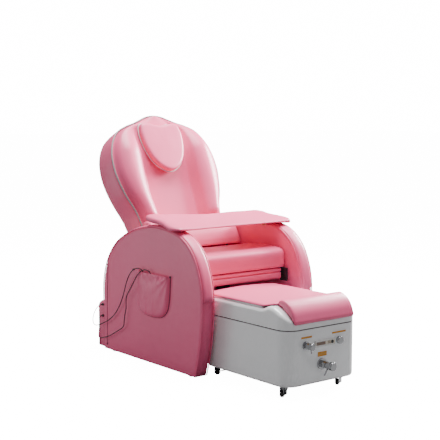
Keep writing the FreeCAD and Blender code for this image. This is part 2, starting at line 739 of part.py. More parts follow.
def heart_wire(depth, inset):
    """The head pillow's heart outline at a depth, drawn in by inset."""
    half, tip, top = D.pillow_half, D.pillow_tip, D.pillow_top
    tall = top - tip
    shares = [(0, 0), (0.36, 0.055), (0.69, 0.2), (0.9, 0.41), (1, 0.63), (1, 0.84)]
    shares += [(0.91, 0.96), (0.62, 0.995), (0.26, 0.96), (0, 0.94)]
    points = [Vector(half * a, depth, tip + tall * b) for a, b in shares]
    ways = directions(points, Vector(1, 0, 0), Vector(-1, 0, -0.18).normalize())
    points = [p - Vector(w.z, 0, -w.x) * inset for p, w in zip(points, ways)]
    points[0].x = points[-1].x = 0
    right = smooth_edges(points, Vector(1, 0, 0), ways[-1])
    back = [Vector(-p.x, p.y, p.z) for p in reversed(points)]
    left = smooth_edges(back, Vector(-1, 0, 0.18).normalize(), Vector(1, 0, 0))
    return Part.Wire(right + left)


def make_pillow():
    rear = D.back_pad_front - D.gap
    thick = D.pillow_thick
    layers = [(0, 2), (0.15, 0), (0.6, 0.5), (0.82, 3), (0.94, 7), (1.0, 13)]
    wires = [heart_wire(rear - share * thick, inset) for share, inset in layers]
    sub_part("head_pillow", formed("pillow_form", Part.makeLoft(wires, True, True)), BACK)


def make_back_frame():
    """Two side tubes, two cross tubes, four feet on the shell and the actuator's lever."""
    near, far = "D.hinge_depth - D.tube / 2", "D.hinge_depth + D.tube / 2"
    bottom = "-D.hinge_down - D.tube / 2"
    side_in, side_out = "D.frame_half - D.tube", "D.frame_half"
    pieces = []
    for side in ("left", "right"):
        across = (side_in, side_out) if side == "left" else (f"-({side_out})", f"-({side_in})")
        pieces.append(block(f"side_tube_{side}", across, (near, far), (bottom, "D.frame_high")))
        for place, height in (("low", "D.frame_foot_low"), ("high", "D.frame_foot_high")):
            pieces.append(
                block(
                    f"foot_{place}_{side}",
                    across,
                    (far, "D.back_depth - D.back_wall - D.gap"),
                    (height, f"{height} + D.tube"),
                )
            )
    inside = (f"-({side_in})", side_in)
    pieces.append(block("cross_low_tube", inside, (near, far), ("D.cross_low", "D.cross_low + D.tube")))
    pieces.append(block("cross_high_tube", inside, (near, far), ("D.cross_high", "D.frame_high")))
    for side, x in (("left", "D.rail_bar_x"), ("right", "-D.rail_bar_x")):
        across = (f"{x} - D.rail_mount / 2", f"{x} + D.rail_mount / 2")
        along = (f"{far} - 1", "D.rail_bar_depth + D.rail_mount / 2")
        low_span = ("D.cross_low", "D.cross_low + D.tube")
        pieces.append(block(f"rail_mount_low_{side}", across, along, low_span))
        pieces.append(block(f"rail_mount_high_{side}", across, along, ("D.cross_high", "D.frame_high")))
    lever_y, lever_z = lever_point()
    for side, sign in (("left", 1), ("right", -1)):
        inner = sign * (D.eye_half + 1)
        arm = Part.makeBox(D.lever_plate, lever_y - D.hinge_depth + D.eye_radius, 2 * D.eye_radius)
        low_x = inner if sign > 0 else inner - D.lever_plate
        arm.translate(Vector(low_x, D.hinge_depth, lever_z - D.eye_radius))
        pieces.append(formed(f"lever_{side}", arm))
    outer = D.eye_half + 1 + D.lever_plate
    pin = Part.makeCylinder(D.lever_pin, 2 * outer, Vector(-outer, lever_y, lever_z), Vector(1, 0, 0))
    pieces.append(formed("lever_pin", pin))
    frame = fuse("back_frame_solid", pieces)
    hole = rod(
        "hinge_hole",
        "x",
        "D.pin_radius + D.run_clear",
        ("-D.frame_half - 1", "D.frame_half + 1"),
        ("D.hinge_depth", "-D.hinge_down"),
    )
    sub_part("back_frame", cut("back_frame_bored", frame, [hole]), BACK)


def lever_point():
    """Where the actuator's pin sits, in the backrest's own depth and height."""
    lean = math.radians(D.back_recline)
    half_travel = math.radians(D.recline_travel / 2)
    along = D.lever_length * math.cos(half_travel)
    above = D.lever_length * math.sin(half_travel)
    depth = D.hinge_depth + along * math.cos(lean) - above * math.sin(lean)
    height = -D.hinge_down + along * math.sin(lean) + above * math.cos(lean)
    return depth, height


def back_to_chair(depth, height):
    """A point of the backrest's frame in the chair's y and z."""
    lean = math.radians(D.back_recline)
    y = D.back_foot_y + depth * math.cos(lean) + height * math.sin(lean)
    z = D.back_foot_z - depth * math.sin(lean) + height * math.cos(lean)
    return y, z


def make_massage():
    bars = []
    for side, x in (("left", "D.rail_bar_x"), ("right", "-D.rail_bar_x")):
        span = ("D.cross_low + D.tube + D.gap", "D.cross_high - D.gap")
        bars.append(rod(f"bar_{side}", "z", "D.rail_bar_radius", span, (x, "D.rail_bar_depth")))
    sub_part("massage_rails", group("bar_set", bars), BACK)
    low, high = "D.carriage_s", "D.carriage_s + D.carriage_high"
    block_out = "(D.rail_bar_x + 2 * D.rail_bar_radius)"
    block_in = "(D.rail_bar_x - 2 * D.rail_bar_radius)"
    rear = "D.rail_bar_depth + D.tube / 2 + 3"
    plate = block(
        "carriage_plate", (f"-{block_out}", block_out), (rear, f"{rear} + D.carriage_plate"), (low, high)
    )
    pieces = [plate]
    holes = []
    for side, across in (("left", (block_in, block_out)), ("right", (f"-{block_out}", f"-{block_in}"))):
        along = ("D.rail_bar_depth - D.tube / 2", f"{rear} + 1")
        pieces.append(block(f"bearing_{side}", across, along, (low, high)))
        x = "D.rail_bar_x" if side == "left" else "-D.rail_bar_x"
        span = (f"{low} - 1", f"{high} + 1")
        spot = (x, "D.rail_bar_depth")
        holes.append(rod(f"bush_{side}", "z", "D.rail_bar_radius + D.bush_clear", span, spot))
    motor_from = f"{rear} + D.carriage_plate"
    motor = block(
        "gear_motor", ("-32", "32"), (f"{motor_from} - 1", f"{motor_from} + D.gear_motor"),
        (f"{low} + 10", f"{high} - 8"),
    )
    pieces.append(motor)
    centre = "D.carriage_s + D.carriage_high / 2"
    shaft_hole = rod(
        "shaft_hole", "x", "D.roller_shaft + D.run_clear", (f"-{block_out} - 1", f"{block_out} + 1"),
        ("D.roller_depth", centre),
    )
    carriage = cut("carriage_bored", fuse("carriage_solid", pieces), [*holes, shaft_hole])
    sub_part("massage_carriage", carriage, BACK)
    axle_half = "(D.rail_bar_x - D.rail_bar_radius - 1.5)"
    turning = [
        rod("roller_axle", "x", "D.roller_shaft", (f"-{axle_half}", axle_half), ("D.roller_depth", centre))
    ]
    for side, x in (("left", "D.roller_x"), ("right", "-D.roller_x")):
        span = (f"{x} - D.roller_width / 2", f"{x} + D.roller_width / 2")
        turning.append(rod(f"roller_{side}", "x", "D.roller_radius", span, ("D.roller_depth", centre)))
    sub_part("massage_rollers", fuse("roller_set", turning), BACK)


def make_back():
    make_back_shell()
    make_front_pad()
    make_bolsters()
    make_back_piping()
    make_lumbar()
    make_pillow()
    make_back_frame()
    make_massage()


# Base frame, hinge plates and recline actuator


def make_base():
    lever_y, lever_z = back_to_chair(*lever_point())
    rod_y = lever_y + D.lever_length * (1 - math.cos(math.radians(D.recline_travel / 2))) / 2
    half = "(D.arm_half_width - D.arm_thick - D.gap)"
    low, high = "D.base_low", "D.base_low + D.base_tube"
    front = (f"{rod_y} - D.base_tube / 2", f"{rod_y} + D.base_tube / 2")
    rear = (f"{BASE_REAR} - D.base_tube", BASE_REAR)
    upper = "D.base_cross_high + D.base_tube"
    pieces = [
        block("floor_cross_front", (f"-{half}", half), front, (low, high)),
        block("floor_cross_rear", (f"-{half}", half), rear, (low, high)),
        block("upper_cross", (f"-{half}", half), rear, ("D.base_cross_high", upper)),
    ]
    for side in ("left", "right"):
        inner, outer = f"{half} - D.base_tube", half
        across = (inner, outer) if side == "left" else (f"-({outer})", f"-({inner})")
        pieces.append(block(f"floor_rail_{side}", across, (front[0], rear[1]), (low, high)))
        pieces.append(block(f"upright_{side}", across, rear, (low, upper)))
    ear_in, ear_out = "(D.eye_half + 1)", "(D.eye_half + 1 + D.ear_thick)"
    ear_along = (f"{rod_y} - D.ear_half", f"{rod_y} + D.ear_half")
    for side, across in (("left", (ear_in, ear_out)), ("right", (f"-{ear_out}", f"-{ear_in}"))):
        pieces.append(block(f"ear_{side}", across, ear_along, (f"{high} - 1", f"{high} + D.ear_high")))
    ear_spot = (str(rod_y), f"{high} + D.ear_pin_up")
    pieces.append(rod("ear_pin", "x", "D.lever_pin", (f"-{ear_out}", ear_out), ear_spot))
    sub_part("base_frame", fuse("base_frame_solid", pieces))

    hinge_y, hinge_z = back_to_chair(D.hinge_depth, -D.hinge_down)
    plates = []
    for side in ("left", "right"):
        plate = block(
            f"hinge_plate_{side}",
            ("D.hinge_plate_in", "D.hinge_plate_in + D.hinge_plate_thick"),
            ("D.hinge_plate_front", f"{rod_y} - D.base_tube / 2 - D.gap"),
            ("D.base_low", "D.hinge_plate_high"),
        )
        spacers = []
        plate_out = "D.hinge_plate_in + D.hinge_plate_thick"
        for height in ("D.spacer_low", "D.spacer_high"):
            spot = ("D.hinge_plate_front + D.spacer_back", height)
            name = f"spacer_{side}_{len(spacers)}"
            spacers.append(rod(name, "x", "D.spacer_radius", (f"{plate_out} - 1", half), spot))
        spot = (str(hinge_y), str(hinge_z))
        pin_span = ("D.frame_half - D.tube + 1", plate_out)
        pin = rod(f"hinge_pin_{side}", "x", "D.pin_radius", pin_span, spot)
        washer_span = ("D.frame_half + D.gap", "D.hinge_plate_in + 1")
        washer = rod(f"hinge_washer_{side}", "x", "D.pin_radius + D.washer_wide", washer_span, spot)
        whole = fuse(f"hinge_side_{side}", [plate, *spacers, pin, washer])
        plates.append(whole if side == "left" else mirrored("hinge_mirror", whole))
    sub_part("hinge_plates", group("hinge_set", plates))

    spot = ("0", str(rod_y))
    tube = rod("actuator_tube", "z", "D.housing_radius", ("D.housing_low - 1", "D.housing_high"), spot)
    gearbox = block(
        "actuator_gearbox", ("-D.gearbox_half", "D.gearbox_half"),
        (f"{rod_y} - D.gearbox_half", f"{rod_y} + D.motor_offset + D.motor_radius + 3"),
        ("D.housing_low - 8", "D.housing_low + 26"),
    )
    motor_span = ("D.housing_low + 25", "D.housing_low + D.motor_high")
    motor = rod("actuator_motor", "z", "D.motor_radius", motor_span, ("0", f"{rod_y} + D.motor_offset"))
    eye = block(
        "actuator_eye", ("-D.eye_half", "D.eye_half"), (f"{rod_y} - 12", f"{rod_y} + 12"),
        (f"{high} + 6", "D.housing_low - 7"),
    )
    eye_radius = "D.lever_pin + D.run_clear"
    eye_bore = rod("actuator_eye_bore", "x", eye_radius, ("-D.eye_half - 1", "D.eye_half + 1"), ear_spot)
    bore_span = ("D.housing_low + 4", "D.housing_high + 1")
    bore = rod("actuator_bore", "z", "D.rod_radius + 0.5", bore_span, spot)
    housing = fuse("actuator_solid", [tube, gearbox, motor, eye])
    sub_part("recline_actuator", cut("actuator_bored", housing, [bore, eye_bore]))

    stem = rod("rod_stem", "z", "D.rod_radius", ("D.rod_low", f"{lever_z} - D.eye_hole - 1"), spot)
    ring_spot = (str(rod_y), str(lever_z))
    ring = rod("rod_ring", "x", "D.eye_radius", ("-D.eye_half", "D.eye_half"), ring_spot)
    ring_hole = rod("rod_ring_hole", "x", "D.eye_hole", ("-D.eye_half - 1", "D.eye_half + 1"), ring_spot)
    sub_part("actuator_rod", cut("rod_bored", fuse("rod_solid", [stem, ring]), [ring_hole]))


def make_rear():
    half = "(D.arm_half_width - D.arm_thick - D.gap)"
    panel = block(
        "panel_board", (f"-{half}", half), (f"{BASE_REAR} + D.gap", f"{BASE_REAR} + D.gap + D.panel_thick"),
        ("D.base_low", "D.panel_high"),
    )
    sub_part("rear_panel", panel)
    front = "(D.arm_rear_reach + D.gap)"
    rear = "(D.arm_rear_reach + D.housing_out)"
    wall = "D.rear_wall"
    outside = block(
        "housing_outside", ("-D.rear_half", "D.rear_half"), (front, rear), ("D.floor_clear", "D.rear_high")
    )
    rear_y = D.arm_rear_reach + D.housing_out

    def top_edge(edge):
        box = edge.BoundBox
        return box.XLength > 300 and box.ZMin > D.rear_high - 1 and box.YMin > rear_y - 1

    def side_edges(edge):
        box = edge.BoundBox
        return box.ZLength > 100 and box.YMin > rear_y - 1

    top_soft = rounded("housing_top_soft", outside, D.rear_top_round, top_edge)
    soft = rounded("housing_soft", top_soft, D.rear_round, side_edges)
    inside = block(
        "housing_inside", (f"-D.rear_half + {wall}", f"D.rear_half - {wall}"),
        (f"{front} + 8", f"{rear} - {wall}"), (f"D.floor_clear + {wall}", f"D.rear_high - 2 * {wall}"),
    )
    sub_part("rear_housing", cut("housing_hollow", soft, [inside]))
    supply_low = f"(D.floor_clear + {wall} + D.gap)"
    supply = block(
        "supply_box", ("-D.supply_width / 2", "D.supply_width / 2"),
        (f"{front} + 8 + D.gap", f"{front} + 8 + D.gap + D.supply_depth"),
        (supply_low, f"{supply_low} + D.supply_height"),
    )
    sub_part("power_supply", supply)


# Side pocket, handsets and cords


def make_pocket():
    face = -D.arm_half_width - D.gap
    deep = D.pocket_hollow + D.pocket_skin

    def bag(front, rear, low, high, depth, corner):
        points = [Vector(0, rear, high), Vector(0, rear, low + corner / 2), Vector(0, rear - corner / 2, low)]
        points += [Vector(0, front + corner, low), Vector(0, front, low + corner), Vector(0, front, high)]
        turn = 1 - math.sqrt(0.5)
        rear_mid = Vector(0, rear - corner / 2 * turn, low + corner / 2 * turn)
        front_mid = Vector(0, front + corner * turn, low + corner * turn)
        edges = [line(points[0], points[1]), arc(points[1], rear_mid, points[2]), line(points[2], points[3])]
        edges += [arc(points[3], front_mid, points[4]), line(points[4], points[5])]
        edges.append(line(points[5], points[0]))
        solid = prism(Part.Wire(edges), Vector(-depth, 0, 0))
        solid.translate(Vector(face, 0, 0))
        return solid

    skin = D.pocket_skin
    outside = bag(D.pocket_front, D.pocket_rear, D.pocket_low, D.pocket_high, deep, D.pocket_corner)
    hollow = bag(
        D.pocket_front + skin, D.pocket_rear - skin, D.pocket_low + skin, D.pocket_high + 5, D.pocket_hollow,
        D.pocket_corner - skin,
    )
    hem = Part.makeBox(skin * 0.8, D.hem_rear - D.hem_front, D.hem_height)
    hem.translate(Vector(face - skin * 0.8, D.hem_front, D.pocket_high - D.hem_height / 2))
    backing_low = D.pocket_low + D.pocket_corner
    backing = Part.makeBox(skin * 0.8, D.pocket_rear - D.pocket_front, D.pocket_high - backing_low)
    backing.translate(Vector(face - skin * 0.8, D.pocket_front, backing_low))
    pocket = outside.cut(hollow).fuse([hem, backing]).removeSplitter()
    sub_part("side_pocket", formed("pocket_form", pocket))
    rivets = []
    start = face - skin * 0.8 - D.gap
    for along in (D.rivet_front, D.rivet_rear):
        head = Part.makeCylinder(D.rivet_radius, 2.2, Vector(start, along, D.pocket_high), Vector(-1, 0, 0))
        rivets.append(head.makeFillet(1.2, [head.Edges[0]]))
    sub_part("pocket_rivets", formed("rivet_heads", Part.makeCompound(rivets)))


def pocket_middle():
    """The x of the middle of the free space in the pocket."""
    return -D.arm_half_width - D.gap - D.pocket_skin * 0.8 - (D.pocket_hollow - D.pocket_skin * 0.8) / 2


def make_handsets():
    x = pocket_middle()
    for label, along in (("massage_handset", D.handset_one_y), ("airbag_handset", D.handset_two_y)):
        case = Part.makeBox(D.handset_thick, D.handset_wide, D.handset_high)
        case.translate(Vector(x - D.handset_thick / 2, along - D.handset_wide / 2, D.handset_low))
        upright = [edge for edge in case.Edges if edge.BoundBox.XLength > 1]
        case = case.makeFillet(8, upright)
        top = D.handset_low + D.handset_high
        relief = Part.makeCone(D.relief_radius, D.cord_radius + 0.8, D.relief_length, Vector(x, along, top))
        sub_part(label, formed(label + "_form", case.fuse(relief).removeSplitter()))
    glands = []
    for height in (D.gland_one_z, D.gland_two_z):
        base = Vector(-D.rear_half - D.gap, D.arm_rear_reach + D.gland_out, height)
        nut = Part.makeCylinder(D.gland_radius, D.gland_length * 0.45, base, Vector(-1, 0, 0))
        tip = Part.makeCone(
            D.gland_radius - 1.5, D.cord_radius + 1, D.gland_length * 0.55,
            base - Vector(D.gland_length * 0.45, 0, 0), Vector(-1, 0, 0),
        )
        glands.append(nut.fuse(tip).removeSplitter())
    sub_part("cord_glands", formed("gland_pair", Part.makeCompound(glands)))


def cord_points(number):
    """The route of a handset cord from its handset to its gland, chosen by hand."""
    x = pocket_middle()
    start_z = D.handset_low + D.handset_high + D.relief_length
    gland_x = -D.rear_half - D.gap - D.gland_length
    if number == 1:
        along, height = D.handset_one_y, D.gland_one_z
        middle = [
            (x, along, 414), (x - 1, along + 4, 436), (x - 7, along + 17, 449), (-350, 417, 450),
            (-351, 452, 436), (-349, 484, 408), (-346, 512, 372), (-343, 535, 326), (-341, 560, 280),
            (-340, 588, 240), (-339, 622, 203), (-340, 664, 171), (-342, 709, 147), (-346, 753, 129),
            (-349, 787, 118), (-350, 808, 122), (-350, 817, 140), (-350, 812, 162), (-349, 801, 184),
            (-347, 789, 201), (-344, 779, 213), (-339, 768, 224),
        ]
    else:
        along, height = D.handset_two_y, D.gland_two_z
        middle = [
            (x, along, 414), (x - 1, along + 4, 436), (x - 7, along + 17, 449), (-350, 362, 449),
            (-351, 397, 431), (-351, 430, 397), (-350, 462, 357), (-348, 494, 324), (-346, 516, 298),
            (-344, 520, 270), (-343, 522, 240), (-342, 536, 206), (-341, 543, 176), (-340, 547, 153),
            (-340, 570, 136), (-340, 615, 114), (-340, 660, 91), (-340, 702, 74), (-340, 742, 63),
            (-340, 767, 55), (-340, 779, 62), (-340, 777, 82), (-340, 773, 108), (-341, 769, 134),
            (-342, 768, 153), (-338, 768, 168),
        ]
    first = Vector(x, along, start_z)
    last = Vector(gland_x, D.arm_rear_reach + D.gland_out, height)
    return [first, *[Vector(*point) for point in middle], last]


def cord_path(points, name):
    """Straight runs joined by arcs as large as the runs allow."""
    edges = []
    here = points[0]
    radii = []
    for before, corner, after in zip(points, points[1:], points[2:]):
        arriving, leaving = unit(corner - before), unit(after - corner)
        turn = math.acos(max(-1, min(1, arriving.dot(leaving))))
        cutback = 0.45 * min((corner - before).Length, (after - corner).Length)
        start, end = corner - arriving * cutback, corner + leaving * cutback
        radii.append(cutback / math.tan(turn / 2))
        edges += [line(here, start), bend(start, corner, end)]
        here = end
    edges.append(line(here, points[-1]))
    print(name, "length", round(sum(edge.Length for edge in edges)), "smallest radius", round(min(radii), 1))
    return edges


def make_cords():
    for number, label in ((1, "handset_cord_one"), (2, "handset_cord_two")):
        edges = cord_path(cord_points(number), label)
        sub_part(label, formed(label + "_run", tube_along(edges, D.cord_radius)))


# Tray


def tray_contact():
    """The point where the sloping tray touches the arm bands, in the chair's y and z."""
    _, _, top, _ = arm_circles()
    slope = math.radians(D.tray_slope)
    reach = D.arm_top_radius + D.arm_pad_rise + D.gap
    return top.y - reach * math.sin(slope), top.z + reach * math.cos(slope)


def make_tray():
    """A padded board with slightly waisted sides and a shallow hollow in its rear edge."""
    half, waist, front, rear = D.tray_half, D.tray_waist, D.tray_front, D.tray_rear
    corner = D.tray_corner
    front_left = Vector(-half + 6 + corner, front, 0)
    front_right = Vector(half - 6 - corner, front, 0)
    side = [
        Vector(half - 6, front + corner, 0),
        Vector(waist, front + 0.58 * (rear - front), 0),
        Vector(half, rear - 40, 0),
        Vector(half - 14, rear - 8, 0),
    ]
    back = [Vector(half - 54, rear, 0), Vector(0, rear - D.tray_dip, 0), Vector(-half + 54, rear, 0)]
    other = [Vector(-p.x, p.y, 0) for p in reversed(side)]
    line_points = [front_right, *side, *back, *other, front_left]
    edges = smooth_edges(line_points, Vector(1, 0, 0), Vector(1, 0, 0))
    board = prism(Part.Wire([*edges, line(front_left, front_right)]), Vector(0, 0, D.tray_thick))
    rims = [edge for edge in board.Edges if edge.BoundBox.ZLength < 0.01]
    soft = board.makeFillet(D.tray_thick * 0.4, rims)
    contact_y, contact_z = tray_contact()
    frame = (f"D.datum_y + {contact_y}", str(contact_z), "-D.tray_slope")
    sub_part("tray_board", formed("tray_form", soft), frame)
    cleats = []
    inner = "(D.arm_half_width - D.arm_thick)"
    for side_name in ("left", "right"):
        high_x, low_x = f"{inner} - D.cleat_gap", f"{inner} - D.cleat_gap - D.cleat_wide"
        across = (low_x, high_x) if side_name == "left" else (f"-({high_x})", f"-({low_x})")
        along = ("D.cleat_front", "D.cleat_rear")
        cleats.append(block(f"cleat_{side_name}", across, along, ("-D.cleat_high - D.gap", "-D.gap")))
    sub_part("tray_cleats", group("cleat_set", cleats), frame)


# Foot bath


def tub_outline(inset, height):
    """The foot bath's plan outline at a height, drawn in by inset."""
    left, right = D.tub_shift - D.tub_half + inset, D.tub_shift + D.tub_half - inset
    front, rear = D.tub_front + inset, D.tub_rear - inset
    big, small = D.tub_corner - inset, D.tub_rear_corner - inset
    turn = 1 - math.sqrt(0.5)

    def at(x, y):
        return Vector(x, y, height)

    edges = [
        line(at(left + big, front), at(right - big, front)),
        arc(at(right - big, front), at(right - big * turn, front + big * turn), at(right, front + big)),
        line(at(right, front + big), at(right, rear - small)),
        arc(at(right, rear - small), at(right - small * turn, rear - small * turn), at(right - small, rear)),
        line(at(right - small, rear), at(left + small, rear)),
        arc(at(left + small, rear), at(left + small * turn, rear - small * turn), at(left, rear - small)),
        line(at(left, rear - small), at(left, front + big)),
        arc(at(left, front + big), at(left + big * turn, front + big * turn), at(left + big, front)),
    ]
    return Part.Wire(edges)


def bowl_outline(inset, height):
    """The plan of the foot bath's bowl at a height, drawn in by inset."""
    box = Part.makeBox(
        2 * (D.bowl_half - inset), D.bowl_rear - D.bowl_front - 2 * inset, 10,
        Vector(D.tub_shift - D.bowl_half + inset, D.bowl_front + inset, height),
    )
    upright = [edge for edge in box.Edges if edge.BoundBox.ZLength > 5]
    soft = box.makeFillet(D.bowl_corner - inset, upright)
    floor = min(soft.Faces, key=lambda face: face.CenterOfMass.z)
    return floor.OuterWire


def nose_slab(lift):
    """A wide block under the foot bath's top and its raised front shoulder, lifted by lift."""
    profile = [
        Vector(0, D.nose_start, D.tub_top + lift),
        Vector(0, D.nose_crest_y, D.nose_crest_z + lift),
        Vector(0, D.nose_brow_y, D.nose_brow_z + lift),
        Vector(0, D.tub_front - 2, D.nose_end_z + lift),
    ]
    curve = smooth_edges(profile, Vector(0, -1, 0), unit(Vector(0, -0.25, -1)))
    tail = Vector(0, D.tub_rear + 10, D.tub_top + lift)
    front_foot = Vector(0, profile[-1].y, D.tub_seam - 1)
    rear_foot = Vector(0, tail.y, D.tub_seam - 1)
    below = [line(profile[-1], front_foot), line(front_foot, rear_foot), line(rear_foot, tail)]
    slab = prism(Part.Wire([line(tail, profile[0]), *curve, *below]), Vector(1000, 0, 0))
    slab.translate(Vector(-500, 0, 0))
    return slab


def make_tub_skirt():
    """The lower wall, with a step round its top that leaves a dark joint under the basin."""
    seam = D.tub_seam - 2 * D.gap
    outer = prism(tub_outline(0, D.tub_low), Vector(0, 0, seam - D.tub_low))
    foot = [edge for edge in outer.Edges if edge.BoundBox.ZMax < D.tub_low + 0.1]
    outer = outer.makeFillet(D.tub_foot_round, foot)
    inner = prism(tub_outline(D.tub_wall, D.tub_low - 1), Vector(0, 0, D.tub_seam))
    step = prism(tub_outline(-1, seam - D.seam_high), Vector(0, 0, D.seam_high + 1))
    step = step.cut(prism(tub_outline(D.seam_deep, seam - D.seam_high - 1), Vector(0, 0, D.seam_high + 3)))
    holes = []
    for x, z in ((D.tap_x, D.tap_z), (D.waste_x, D.waste_z), (D.air_x, D.air_z)):
        holes.append(Part.makeCylinder(D.hose_hole, 60, Vector(x, D.tub_front - 20, z), Vector(0, 1, 0)))
    sub_part("tub_skirt", formed("skirt_form", outer.cut([inner, step, *holes])))


def make_tub_basin():
    """The upper moulding with its raised front shoulder, and the bowl below it."""
    whole = prism(tub_outline(0, D.tub_seam), Vector(0, 0, 200))
    moulding = whole.common(nose_slab(0)).removeSplitter()
    moulding = moulding.makeFillet(D.nose_round, [edge for edge in moulding.Edges if is_shoulder(edge)])
    high = D.tub_seam - D.bowl_low + 20
    bowl = prism(bowl_outline(-D.bowl_wall, D.bowl_low - D.bowl_wall), Vector(0, 0, high))
    cavity = prism(bowl_outline(0, D.bowl_low), Vector(0, 0, 300))
    drain_centre = Vector(D.tub_shift, D.bowl_front + 60, D.bowl_low - 15)
    drain = Part.makeCylinder(D.drain_radius, 30, drain_centre)
    basin = moulding.fuse(bowl).cut([cavity, drain]).removeSplitter()
    sub_part("tub_basin", formed("basin_form", basin))


def is_shoulder(edge):
    """Whether an edge of the upper moulding runs where its front shoulder meets its wall."""
    box = edge.BoundBox
    ahead = box.YMax < D.nose_crest_y + 40
    return ahead and box.ZMin > D.nose_end_z + 2 and box.XLength < 2 * (D.tub_half - D.tub_corner) - 1


def make_tub_chassis():
    """The floor plate with posts for the bowl, an edge rail and the bearings of the casters."""
    top = D.chassis_low + D.chassis_thick
    pieces = [prism(tub_outline(D.tub_wall + D.gap + 9, D.chassis_low), Vector(0, 0, D.chassis_thick))]
    post_rise = D.bowl_low - D.bowl_wall - top - D.gap + 1
    for x in (D.post_left, D.post_right):
        for y in (D.post_front, D.post_rear):
            pieces.append(Part.makeBox(D.post_side, D.post_side, post_rise, Vector(x, y, top - 1)))
    edge_rail = prism(tub_outline(D.tub_wall + D.gap, D.chassis_low + 3), Vector(0, 0, D.chassis_thick))
    edge_hole = prism(tub_outline(D.tub_wall + 11, D.chassis_low + 2), Vector(0, 0, D.chassis_thick + 2))
    pieces.append(edge_rail.cut(edge_hole))
    bores = []
    along = Vector(1, 0, 0)
    reach = D.wheel_width / 2 + D.fork_side_gap
    for sign in (-1, 1):
        x = D.tub_shift + sign * D.caster_x
        for near in (x - reach - D.fork_sheet, x + reach):
            cheek = Part.makeBox(D.fork_sheet, 20, D.chassis_low - D.wheel_radius + 9)
            cheek.translate(Vector(near, D.caster_rear - 10, D.wheel_radius - 8))
            pieces.append(cheek)
            axle = Vector(near - 1, D.caster_rear, D.wheel_radius)
            bores.append(Part.makeCylinder(D.axle_radius + D.run_clear, D.fork_sheet + 2, axle, along))
        stem = Vector(x, D.caster_front, D.chassis_low - 1)
        bores.append(Part.makeCylinder(D.stem_radius + D.run_clear, D.chassis_thick + 2, stem))
    chassis = pieces[0].fuse(pieces[1:]).removeSplitter()
    sub_part("tub_chassis", formed("chassis_form", chassis.cut(bores)))


def make_pump():
    top = D.chassis_low + D.chassis_thick
    axis = Vector(D.pump_x, D.pump_y, top + D.pump_lift + D.pump_radius)
    pump = Part.makeCylinder(D.pump_radius, D.pump_length, axis, Vector(1, 0, 0))
    corner = Vector(D.pump_x, D.pump_y - D.cradle_half, top + D.gap)
    cradle = Part.makeBox(D.pump_length, 2 * D.cradle_half, D.cradle_high, corner)
    sub_part("bubble_pump", formed("pump_form", pump.fuse(cradle).removeSplitter()))


def make_cover():
    """The board, the crowned pad on it and the roll over the foot bath's front shoulder."""
    low = D.tub_top + D.gap
    board = prism(tub_outline(D.cover_inset, low), Vector(0, 0, D.cover_board))
    ahead = Part.makeBox(1000, 400, 100, Vector(-500, D.nose_start - 400, low - 20))
    sub_part("cover_board", formed("cover_board_form", board.cut(ahead)))
    lift = D.cover_board + 2 * D.gap
    slab = prism(tub_outline(D.cover_pad_inset, low), Vector(0, 0, D.cover_crown + 10 - low))
    half = D.tub_half - D.cover_pad_inset
    sag = D.cover_crown - D.cover_edge
    crown = (half ** 2 + sag ** 2) / (2 * sag)
    centre = Vector(D.tub_shift, D.tub_front - 50, D.cover_crown - crown)
    arch = Part.makeCylinder(crown, D.tub_rear - D.tub_front + 100, centre, Vector(0, 1, 0))
    front = Part.makeBox(1000, 400, 100, Vector(-500, D.cover_front - 400, low - 20))
    slab = slab.common(arch).removeSplitter()
    rims = [edge for edge in slab.Edges if edge.BoundBox.ZMin > D.cover_edge - 0.1]
    soft = slab.makeFillet(D.cover_round, rims)
    pad_form = soft.cut([front, nose_slab(lift), *cover_steps(low - 20)]).removeSplitter()
    sub_part("cover_pad", formed("cover_pad_form", pad_form))
    roll = cushion_slices(roll_section, D.roll_half, D.roll_pinch, D.tub_shift)
    sub_part("roll_pad", formed("roll_form", roll.cut(nose_slab(D.gap)).removeSplitter()))


def cover_steps(low):
    """Blocks that cut the pad's front corners back to the narrower roll."""
    blocks = []
    for sign in (-1, 1):
        inner = D.tub_shift + sign * D.roll_half
        outer = D.tub_shift + sign * (D.tub_half - D.cover_pad_inset)
        far = D.tub_shift + sign * (D.tub_half + 40)
        plan = [(inner, D.cover_front - 20), (inner, D.cover_front), (outer, D.cover_step)]
        plan += [(far, D.cover_step + 10), (far, D.cover_front - 20)]
        points = [Vector(x, y, low) for x, y in plan]
        wire = Part.makePolygon([*points, points[0]])
        blocks.append(prism(wire, Vector(0, 0, 100)))
    return blocks


def roll_section(x, pinch):
    """One slice of the roll: a crest behind, a long front and an underside for the nose to cut."""
    join_y = D.cover_front - D.gap
    begin = Vector(x, join_y, D.cover_crown - 2 - pinch)
    crest = Vector(x, join_y - 30, D.roll_high - pinch)
    brow = Vector(x, D.roll_front + 45, D.roll_high - 11 - pinch)
    face = Vector(x, D.roll_front + 16 + pinch * 0.7, D.roll_high - 41 - pinch * 0.7)
    front_low = Vector(x, D.roll_front + pinch * 0.5, D.roll_low + 5)
    lip = Vector(x, D.roll_front + 3 + pinch * 0.5, D.roll_low)
    under_end = Vector(x, D.tub_front + 8, D.roll_low - 3)
    under_start = Vector(x, join_y, D.tub_top - 6)
    edges = [
        arc(begin, crest, brow),
        arc(brow, face, front_low),
        line(front_low, lip),
        line(lip, under_end),
        line(under_end, under_start),
        line(under_start, begin),
    ]
    return Part.Wire(edges)


# Controls


def front_round(radius, near, far, x, z):
    """A round piece on the front face, from near to far in front of it."""
    return Part.makeCylinder(radius, far - near, Vector(x, D.tub_front - near, z), Vector(0, -1, 0))


